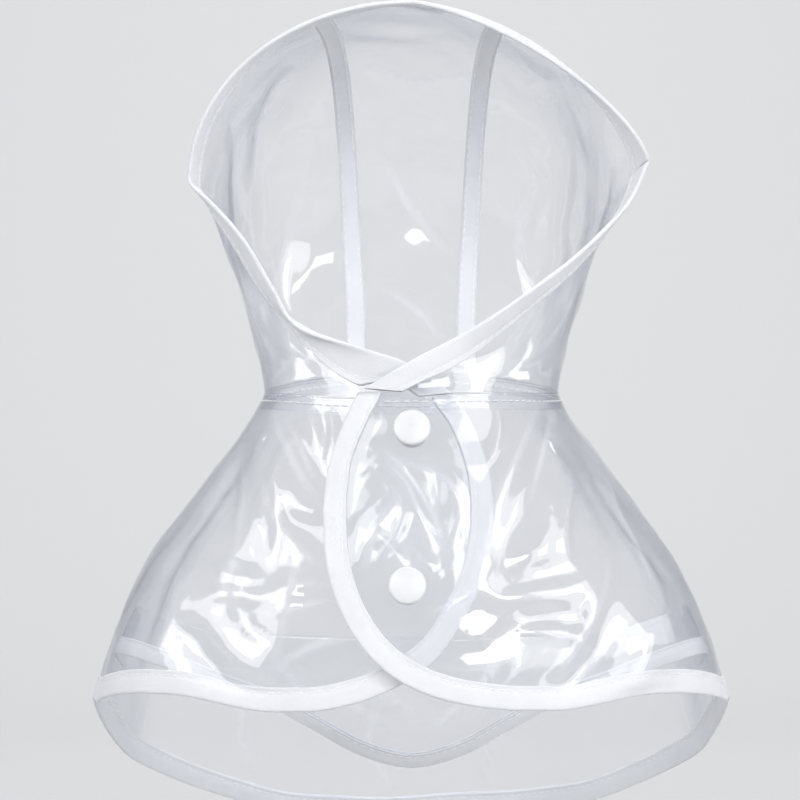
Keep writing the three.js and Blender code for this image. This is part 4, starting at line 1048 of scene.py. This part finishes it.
def stitch_meshes(centres, forwards, ups):
    """Points and faces of one stitch at each centre."""
    asides = np.cross(forwards, ups)
    turn = np.linspace(0, 2 * np.pi, THREAD_SIDES, endpoint=False)
    rings = []
    for share, rise in zip(np.linspace(-0.5, 0.5, len(STITCH_RISE)), STITCH_RISE):
        middle = centres + forwards * (share * STITCH_LENGTH) + ups * rise
        ring = middle[:, None] + THREAD_RADIUS * (
            asides[:, None] * np.cos(turn)[None, :, None] + ups[:, None] * np.sin(turn)[None, :, None]
        )
        rings.append(ring)
    points = np.stack(rings, 1)
    one = grid_faces(len(STITCH_RISE), THREAD_SIDES, wrap=True).tolist()
    one.append(list(range(THREAD_SIDES))[::-1])
    one.append([len(STITCH_RISE) * THREAD_SIDES - THREAD_SIDES + n for n in range(THREAD_SIDES)])
    per = len(STITCH_RISE) * THREAD_SIDES
    faces = [[n * per + corner for corner in face] for n in range(len(centres)) for face in one]
    return points.reshape(-1, 3), faces


def add_stitches(name, seam, share_of_width, height, faces_of=(1, -1)):
    base, normals, along, width = seam
    columns = base.shape[1] - 1
    k = min(int(share_of_width * columns), columns - 1)
    w = share_of_width * columns - k
    line = lerp(base[:, k], base[:, k + 1], w)
    facing = unit(lerp(normals[:, k], normals[:, k + 1], w))
    length = reach_along(line)
    stations = np.arange(STITCH_PITCH, length[-1] - STITCH_PITCH, STITCH_PITCH)

    def read(values, at):
        return np.stack([np.interp(at, length, values[:, axis]) for axis in range(3)], -1)

    centres, forwards = read(line, stations), unit(read(line, stations + 1) - read(line, stations - 1))
    ups = unit(read(facing, stations))
    all_points, all_faces = [], []
    for face in faces_of:
        points, faces = stitch_meshes(centres + ups * face * height, forwards, ups * face)
        offset = sum(len(p) for p in all_points)
        all_faces += [[corner + offset for corner in one] for one in faces]
        all_points.append(points)
    piece = add_mesh(name, np.concatenate(all_points), all_faces)
    print(name, len(stations) * len(faces_of), "stitches")
    return piece


def tape_surface(width):
    return float(half_height(np.array(STITCH_AT), width))


stitches = {
    "hem": add_stitches("hem_stitches", hem_seam, STITCH_AT, tape_surface(TAPE_WIDTH)),
    "hood": add_stitches("hood_stitches", hood_seam, STITCH_AT, tape_surface(TAPE_WIDTH)),
    "belly": add_stitches("belly_stitches", belly_seam, STITCH_AT, tape_surface(BELLY_TAPE_WIDTH)),
}
stitches["neck_inside"] = add_stitches(
    "neck_stitches_inside", neck_seam, NECK_STITCH_AT, FILM_THICKNESS / 2, faces_of=(-1,)
)
stitches["neck_outside"] = add_stitches(
    "neck_stitches_outside", neck_seam, NECK_STITCH_AT, FILM_THICKNESS / 2 - NECK_LAP_OFFSET, faces_of=(1,)
)
for side, (tape, seam) in seam_tapes.items():
    for edge, share in (("low", 0.2), ("high", 0.8)):
        name = f"seam_stitches_{side}_{edge}"
        stitches[name] = add_stitches(name, seam, share, TAPE_CLOTH / 2, faces_of=(-1,))

# %% [markdown]
# ## Snaps
#
# A plastic snap has a domed cap with a rolled rim outside, a socket and a stud between the flaps,
# and a low cap inside. Each is a turned shape, so a profile swept round an axis makes it.

# %% Snaps
SNAPS = {"upper": (0, -16.5), "lower": (-1.5, -67.5)}
TURNED_SIDES = 56
FLAP_FACE = FLAP_LIFT + FILM_THICKNESS / 2
CAP_PROFILE = (
    (0, 0.05), (4.0, 0.05), (5.7, 0.02), (6.05, 0.12), (6.2, 0.42), (6.17, 0.78), (5.98, 1.12),
    (5.62, 1.36), (5.0, 1.52), (4.2, 1.68), (3.2, 1.86), (2.1, 2.0), (1.0, 2.08), (0, 2.1),
)
BACK_PROFILE = (
    (0, 0.05), (4.8, 0.04), (5.1, 0.14), (5.2, 0.45), (5.1, 0.8), (4.7, 1.05), (3.6, 1.22),
    (2.0, 1.33), (1.1, 1.36), (0.7, 1.2), (0, 1.15),
)
SOCKET_PROFILE = (
    (1.3, 0.12), (2.3, 0.12), (2.6, 0.5), (3.5, 0.5), (3.7, 0.2), (4.4, 0.15), (4.75, 0.35),
    (4.8, 0.8), (4.8, 1.4), (4.6, 1.62), (4.3, 1.7), (1.3, 1.7),
)
STUD_PROFILE = (
    (1.3, 0.12), (2.2, 0.15), (2.35, 0.4), (2.2, 0.75), (2.5, 0.95), (4.2, 1.0), (4.7, 1.1),
    (4.8, 1.3), (4.7, 1.6), (4.4, 1.7), (1.3, 1.7),
)


def add_turned(name, profile, centre, facing, base, closed=False):
    """A profile of radius and height, turned round the line through centre along facing."""
    facing = facing / np.linalg.norm(facing)
    side = unit(np.cross(facing, (0, 0, 1)))
    other = np.cross(facing, side)
    turn = np.linspace(0, 2 * np.pi, TURNED_SIDES, endpoint=False)
    ring = side * np.cos(turn)[:, None] + other * np.sin(turn)[:, None]
    radius, height = np.array(profile, float).T
    points = centre + facing * (base + height)[:, None, None] + ring * radius[:, None, None]
    faces = grid_faces(len(profile), TURNED_SIDES, wrap=True).tolist()
    if closed:
        last = (len(profile) - 1) * TURNED_SIDES
        for n in range(TURNED_SIDES):
            m = (n + 1) % TURNED_SIDES
            faces.append([last + n, n, m, last + m])
    piece = add_mesh(name, points, faces)
    weld = piece.modifiers.new("close the axis", "WELD")
    weld.merge_threshold = 0.00001
    return piece


snap_pieces = []
for name, (x, z) in SNAPS.items():
    angle, drop = place_on_front(x, z)
    centre, facing = cape_form(angle, drop), cape_facing(angle, drop)
    parts = {
        "cap": (CAP_PROFILE, facing, FLAP_FACE, False),
        "socket": (SOCKET_PROFILE, facing, 0.15, True),
        "stud": (STUD_PROFILE, -facing, 0.15, True),
        "back_cap": (BACK_PROFILE, -facing, FLAP_FACE, False),
    }
    for part, (profile, way, base, closed) in parts.items():
        piece = add_turned(f"snap_{name}_{part}_turned", profile, centre, way, base, closed)
        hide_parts(f"snap_{name}_{part}")
        snap_pieces.append(piece)

# %% [markdown]
# ## Shared effects
#
# Three effects serve more than one material, so each is a node group with its own inputs: fine
# wrinkles and dimples, marks of handling, and woven threads. They only put out heights and masks;
# the woven threads' Shade mask is painted shade that darkens the gaps between threads. The shaders
# stay in each material.


# %% Node helpers
def link(tree, source, target):
    tree.links.new(source, target)


def math_node(tree, operation, a, b=None, c=None, clamp=False):
    node = tree.nodes.new("ShaderNodeMath")
    node.operation = operation
    node.use_clamp = clamp
    for socket, value in zip(node.inputs, (a, b, c)):
        if isinstance(value, (int, float)):
            socket.default_value = value
        elif value is not None:
            link(tree, value, socket)
    return node.outputs[0]


def new_group(name, inputs, outputs):
    group = bpy.data.node_groups.new(name, "ShaderNodeTree")
    for socket, value in inputs.items():
        made = group.interface.new_socket(socket, in_out="INPUT", socket_type="NodeSocketFloat")
        made.default_value = value
    for socket in outputs:
        group.interface.new_socket(socket, in_out="OUTPUT", socket_type="NodeSocketFloat")
    start = group.nodes.new("NodeGroupInput")
    end = group.nodes.new("NodeGroupOutput")
    return group, start, end


def object_noise(tree, scale, detail=2.0, roughness=0.5):
    place = tree.nodes.new("ShaderNodeTexCoord")
    noise = tree.nodes.new("ShaderNodeTexNoise")
    link(tree, place.outputs["Object"], noise.inputs["Vector"])
    if isinstance(scale, (int, float)):
        noise.inputs["Scale"].default_value = scale
    else:
        link(tree, scale, noise.inputs["Scale"])
    noise.inputs["Detail"].default_value = detail
    noise.inputs["Roughness"].default_value = roughness
    return noise.outputs["Fac"]


# %% Fine wrinkles
def fine_wrinkles():
    """Soft dimples, and thin ridges where the noise crosses its middle."""
    group, start, end = new_group("fine_wrinkles", {"Scale": 60.0, "Ridges": 0.4}, ["Height"])
    dimples = object_noise(group, start.outputs["Scale"], 1.0)
    broad = math_node(group, "MULTIPLY", start.outputs["Scale"], 0.45)
    wander = object_noise(group, broad, 3.0, 0.55)
    from_middle = math_node(group, "ABSOLUTE", math_node(group, "SUBTRACT", wander, 0.5))
    ridge = math_node(group, "SUBTRACT", 1.0, math_node(group, "MULTIPLY", from_middle, 16.0), clamp=True)
    ridge = math_node(group, "MULTIPLY", ridge, start.outputs["Ridges"])
    link(group, math_node(group, "ADD", dimples, ridge), end.inputs["Height"])
    return group


# %% Handling marks
def handling_marks():
    """A soft mask of smears and dull spots."""
    group, start, end = new_group("handling_marks", {"Scale": 25.0, "Sharpness": 3.0}, ["Mask"])
    smear = math_node(group, "SUBTRACT", object_noise(group, start.outputs["Scale"], 4.0, 0.6), 0.5)
    lifted = math_node(group, "MULTIPLY_ADD", smear, start.outputs["Sharpness"], 0.5, clamp=True)
    link(group, lifted, end.inputs["Mask"])
    return group


# %% Woven threads
def woven_threads():
    """Warp and weft from the tape's own length and width, which are stored on its points."""
    group, start, end = new_group("woven_threads", {"Pitch": 0.42}, ["Height", "Shade"])
    waves = []
    for name, shift in (("along", 0.0), ("across", 0.5)):
        place = group.nodes.new("ShaderNodeAttribute")
        place.attribute_name = name
        turns = math_node(group, "DIVIDE", place.outputs["Fac"], start.outputs["Pitch"])
        angle = math_node(group, "MULTIPLY", math_node(group, "ADD", turns, shift), 2 * math.pi)
        waves.append(math_node(group, "SINE", angle))
    height = math_node(group, "MULTIPLY", waves[0], waves[1])
    ribs = math_node(group, "MULTIPLY_ADD", waves[1], 0.3, height)
    link(group, ribs, end.inputs["Height"])
    # Shade is painted shade: it is low where the weave is low, so the tape's colour darkens in the gaps
    # between threads
    link(group, math_node(group, "MULTIPLY_ADD", ribs, 0.35, 0.5, clamp=True), end.inputs["Shade"])
    return group


GROUPS = {"wrinkles": fine_wrinkles(), "marks": handling_marks(), "weave": woven_threads()}


def place_group(tree, key, **values):
    node = tree.nodes.new("ShaderNodeGroup")
    node.node_tree = GROUPS[key]
    for name, value in values.items():
        node.inputs[name].default_value = value
    return node


def new_material(name):
    material = bpy.data.materials.new(name)
    material.use_nodes = True
    tree = material.node_tree
    tree.nodes.clear()
    return material, tree, tree.nodes.new("ShaderNodeOutputMaterial")


def mix_colour(tree, factor, a, b):
    node = tree.nodes.new("ShaderNodeMix")
    node.data_type = "RGBA"
    link(tree, factor, node.inputs["Factor"])
    node.inputs["A"].default_value = (*a, 1)
    node.inputs["B"].default_value = (*b, 1)
    return node.outputs["Result"]


# %% [markdown]
# ## Clear film
#
# Soft vinyl film lets nearly all light through, mirrors a little of it at every angle and much
# more at a glancing one, and looks a little blue-grey where it is seen edge on. It could be
# refracting glass, but thin sheets bend nothing that shows and cost many light bounces. So light
# passes straight through, a mirror share follows Schlick's rule, and a faint milky share gives
# the haze, which is stronger on sharp creases and smears.

# %% Film material
FILM_TINT = {"face": (0.986, 0.988, 0.992), "edge": (0.72, 0.735, 0.775)}
FILM_MIRROR = 0.04  # straight on, for each of the two faces of the film
FILM_HAZE = 0.015
FILM_SHADOW = (0.955, 0.96, 0.97)  # what each face lets through on the way to a lamp


def clear_film():
    material, tree, output = new_material("clear_film")
    wrinkles = place_group(tree, "wrinkles", Scale=55.0, Ridges=0.28)
    bump = tree.nodes.new("ShaderNodeBump")
    bump.inputs["Strength"].default_value = 0.35
    bump.inputs["Distance"].default_value = 0.0006
    link(tree, wrinkles.outputs["Height"], bump.inputs["Height"])
    slant = tree.nodes.new("ShaderNodeLayerWeight")
    slant.inputs["Blend"].default_value = 0.5
    link(tree, bump.outputs["Normal"], slant.inputs["Normal"])
    facing = slant.outputs["Facing"]
    marks = place_group(tree, "marks", Scale=32.0, Sharpness=3.5)
    crease = tree.nodes.new("ShaderNodeAttribute")
    crease.attribute_name = "crease"

    through_film = tree.nodes.new("ShaderNodeBsdfTransparent")
    edge_on = math_node(tree, "POWER", facing, 3.2)
    link(tree, mix_colour(tree, edge_on, FILM_TINT["face"], FILM_TINT["edge"]), through_film.inputs["Color"])

    milky = tree.nodes.new("ShaderNodeBsdfPrincipled")
    milky.inputs["Base Color"].default_value = (0.93, 0.94, 0.98, 1)
    milky.inputs["Roughness"].default_value = 0.3
    haze = math_node(tree, "MULTIPLY_ADD", marks.outputs["Mask"], 0.03, FILM_HAZE)
    haze = math_node(tree, "MULTIPLY_ADD", crease.outputs["Fac"], 0.16, haze, clamp=True)
    inner = tree.nodes.new("ShaderNodeMixShader")
    link(tree, haze, inner.inputs["Fac"])
    link(tree, through_film.outputs["BSDF"], inner.inputs[1])
    link(tree, milky.outputs["BSDF"], inner.inputs[2])

    mirror = tree.nodes.new("ShaderNodeBsdfPrincipled")
    mirror.inputs["Base Color"].default_value = (0.98, 0.985, 1, 1)
    mirror.inputs["Metallic"].default_value = 1.0
    gloss = math_node(tree, "MULTIPLY_ADD", marks.outputs["Mask"], 0.08, 0.045)
    link(tree, gloss, mirror.inputs["Roughness"])
    link(tree, bump.outputs["Normal"], mirror.inputs["Normal"])
    schlick = math_node(tree, "POWER", facing, 5.0)
    share = math_node(tree, "MULTIPLY_ADD", schlick, 1 - FILM_MIRROR, FILM_MIRROR, clamp=True)
    outer = tree.nodes.new("ShaderNodeMixShader")
    link(tree, share, outer.inputs["Fac"])
    link(tree, inner.outputs["Shader"], outer.inputs[1])
    link(tree, mirror.outputs["BSDF"], outer.inputs[2])

    to_lamps = tree.nodes.new("ShaderNodeBsdfTransparent")
    to_lamps.inputs["Color"].default_value = (*FILM_SHADOW, 1)
    ray = tree.nodes.new("ShaderNodeLightPath")
    whole = tree.nodes.new("ShaderNodeMixShader")
    link(tree, ray.outputs["Is Shadow Ray"], whole.inputs["Fac"])
    link(tree, outer.outputs["Shader"], whole.inputs[1])
    link(tree, to_lamps.outputs["BSDF"], whole.inputs[2])
    link(tree, whole.outputs["Shader"], output.inputs["Surface"])
    return material


# %% [markdown]
# ## Tape, thread and snaps
#
# The tape is fine polyester with a dry face. Its weave is too fine to model, so it is a bump, with
# painted shade that darkens the gaps between threads. The thread is the same white with a twist.
# The snaps are moulded plastic with a faint dimpled skin.


# %% Tape material
def woven_tape():
    material, tree, output = new_material("edge_tape")
    shader = tree.nodes.new("ShaderNodeBsdfPrincipled")
    weave = place_group(tree, "weave", Pitch=0.42)
    wrinkles = place_group(tree, "wrinkles", Scale=260.0, Ridges=0.2)
    marks = place_group(tree, "marks", Scale=60.0, Sharpness=2.0)
    # The colour darkens with the weave's painted shade in the gaps between threads, and turns paler where the
    # handling marks are
    soft = math_node(tree, "MULTIPLY", marks.outputs["Mask"], 0.35)
    shade = math_node(tree, "MULTIPLY_ADD", weave.outputs["Shade"], 0.65, soft, clamp=True)
    link(tree, mix_colour(tree, shade, (0.72, 0.735, 0.77), (0.88, 0.885, 0.9)), shader.inputs["Base Color"])
    shader.inputs["Roughness"].default_value = 0.72
    shader.inputs["Sheen Weight"].default_value = 0.25
    shader.inputs["Sheen Roughness"].default_value = 0.4
    threads = tree.nodes.new("ShaderNodeBump")
    threads.inputs["Strength"].default_value = 0.5
    threads.inputs["Distance"].default_value = 0.00008
    link(tree, weave.outputs["Height"], threads.inputs["Height"])
    folds = tree.nodes.new("ShaderNodeBump")
    folds.inputs["Strength"].default_value = 0.35
    folds.inputs["Distance"].default_value = 0.0004
    link(tree, wrinkles.outputs["Height"], folds.inputs["Height"])
    link(tree, threads.outputs["Normal"], folds.inputs["Normal"])
    link(tree, folds.outputs["Normal"], shader.inputs["Normal"])
    link(tree, shader.outputs["BSDF"], output.inputs["Surface"])
    return material


# %% Thread material
def sewing_thread():
    material, tree, output = new_material("sewing_thread")
    shader = tree.nodes.new("ShaderNodeBsdfPrincipled")
    marks = place_group(tree, "marks", Scale=900.0, Sharpness=4.0)
    link(tree, mix_colour(tree, marks.outputs["Mask"], (0.82, 0.83, 0.86), (0.96, 0.963, 0.97)),
         shader.inputs["Base Color"])
    shader.inputs["Roughness"].default_value = 0.55
    bump = tree.nodes.new("ShaderNodeBump")
    bump.inputs["Strength"].default_value = 0.5
    bump.inputs["Distance"].default_value = 0.0001
    link(tree, marks.outputs["Mask"], bump.inputs["Height"])
    link(tree, bump.outputs["Normal"], shader.inputs["Normal"])
    link(tree, shader.outputs["BSDF"], output.inputs["Surface"])
    return material


# %% Snap material
def snap_plastic():
    material, tree, output = new_material("snap_plastic")
    shader = tree.nodes.new("ShaderNodeBsdfPrincipled")
    marks = place_group(tree, "marks", Scale=120.0, Sharpness=2.5)
    wrinkles = place_group(tree, "wrinkles", Scale=900.0, Ridges=0.0)
    link(tree, mix_colour(tree, marks.outputs["Mask"], (0.73, 0.735, 0.75), (0.79, 0.795, 0.805)),
         shader.inputs["Base Color"])
    link(tree, math_node(tree, "MULTIPLY_ADD", marks.outputs["Mask"], 0.16, 0.26), shader.inputs["Roughness"])
    shader.inputs["Subsurface Weight"].default_value = 0.08
    shader.inputs["Subsurface Scale"].default_value = 0.001
    bump = tree.nodes.new("ShaderNodeBump")
    bump.inputs["Strength"].default_value = 0.15
    bump.inputs["Distance"].default_value = 0.00008
    link(tree, wrinkles.outputs["Height"], bump.inputs["Height"])
    link(tree, bump.outputs["Normal"], shader.inputs["Normal"])
    link(tree, shader.outputs["BSDF"], output.inputs["Surface"])
    return material


# %% Give each piece its finish
film_pieces = [cape, *hood_pieces.values(), hood_gusset, neck_lap, belly]
tape_pieces = [hem_tape, hood_tape, belly_tape, *(tape for tape, _ in seam_tapes.values())]
finishes = {clear_film: film_pieces, woven_tape: tape_pieces,
            sewing_thread: list(stitches.values()), snap_plastic: snap_pieces}
for make, pieces in finishes.items():
    material = make()
    for piece in pieces:
        piece.data.materials.append(material)
    print(material.name, "on", len(pieces), "pieces")

# %% [markdown]
# ## The stage
#
# The coat hangs in the air, filled out as when it is worn, over a pale sweep that rises behind it.
# Clear film shows only by what it mirrors, so the lamps are large panels, high at both sides and
# low in front. A dim wide panel makes a pale patch on the film, and a small bright core makes the
# white streaks in it.

# %% Sweep
SWEEP_FLOOR_Z = -260
SWEEP_BACK = 1500
SWEEP_RADIUS = 900
SWEEP_HALF_WIDTH = 2600
SWEEP_FRONT = -2200
SWEEP_TOP = 2600

turn = np.linspace(0, math.pi / 2, 25)
profile = [(SWEEP_FRONT, SWEEP_FLOOR_Z)]
for angle in turn:
    profile.append((
        SWEEP_BACK + SWEEP_RADIUS * math.sin(angle),
        SWEEP_FLOOR_Z + SWEEP_RADIUS * (1 - math.cos(angle)),
    ))
profile.append((SWEEP_BACK + SWEEP_RADIUS, SWEEP_TOP))
sweep_points = [(x, y, z) for y, z in profile for x in (-SWEEP_HALF_WIDTH, SWEEP_HALF_WIDTH)]
sweep_mesh = bpy.data.meshes.new("sweep")
sweep_mesh.from_pydata((np.array(sweep_points) * MM).tolist(), [], grid_faces(len(profile), 2).tolist())
sweep_mesh.shade_smooth()
sweep = bpy.data.objects.new("sweep", sweep_mesh)
bpy.context.scene.collection.objects.link(sweep)
paper, tree, output = new_material("pale_paper")
shader = tree.nodes.new("ShaderNodeBsdfPrincipled")
shader.inputs["Base Color"].default_value = (0.5, 0.503, 0.51, 1)
shader.inputs["Roughness"].default_value = 0.9
link(tree, shader.outputs["BSDF"], output.inputs["Surface"])
sweep_mesh.materials.append(paper)


# %% Lamps
def add_lamp(name, place, size, power, target=(0, 0, 0)):
    data = bpy.data.lights.new(name, "AREA")
    data.shape = "RECTANGLE"
    data.size, data.size_y = size
    data.energy = power
    lamp = bpy.data.objects.new(name, data)
    lamp.location = place
    way = Vector(target) - Vector(place)
    lamp.rotation_euler = way.to_track_quat("-Z", "Y").to_euler()
    bpy.context.scene.collection.objects.link(lamp)
    return lamp


add_lamp("key_panel", (-1.12, -1.04, 0.82), (1.25, 0.95), 10)
add_lamp("key_core", (-1.08, -1.0, 0.84), (0.5, 0.4), 4.4)
add_lamp("right_panel", (1.05, -0.95, 0.55), (0.85, 1.2), 8)
add_lamp("right_core", (1.0, -0.92, 0.56), (0.3, 0.6), 4)
add_lamp("front_panel", (0.2, -1.7, -0.5), (1.0, 0.5), 9)
add_lamp("chest_panel", (0.42, -1.38, 0.66), (0.45, 0.36), 3.2)
add_lamp("top_panel", (0.0, 0.3, 1.3), (1.1, 1.1), 2)
add_lamp("sweep_panel", (0.0, 1.0, 1.7), (2.4, 0.8), 43, target=(0, 2.3, 0))

world = bpy.data.worlds.new("pale_room")
world.use_nodes = True
world.node_tree.nodes["Background"].inputs["Color"].default_value = (0.9, 0.92, 0.96, 1)
world.node_tree.nodes["Background"].inputs["Strength"].default_value = 0.42
bpy.context.scene.world = world
bpy.context.scene.view_settings.view_transform = "Standard"
bpy.context.scene.cycles.transparent_max_bounces = 48
bpy.context.scene.cycles.max_bounces = 16
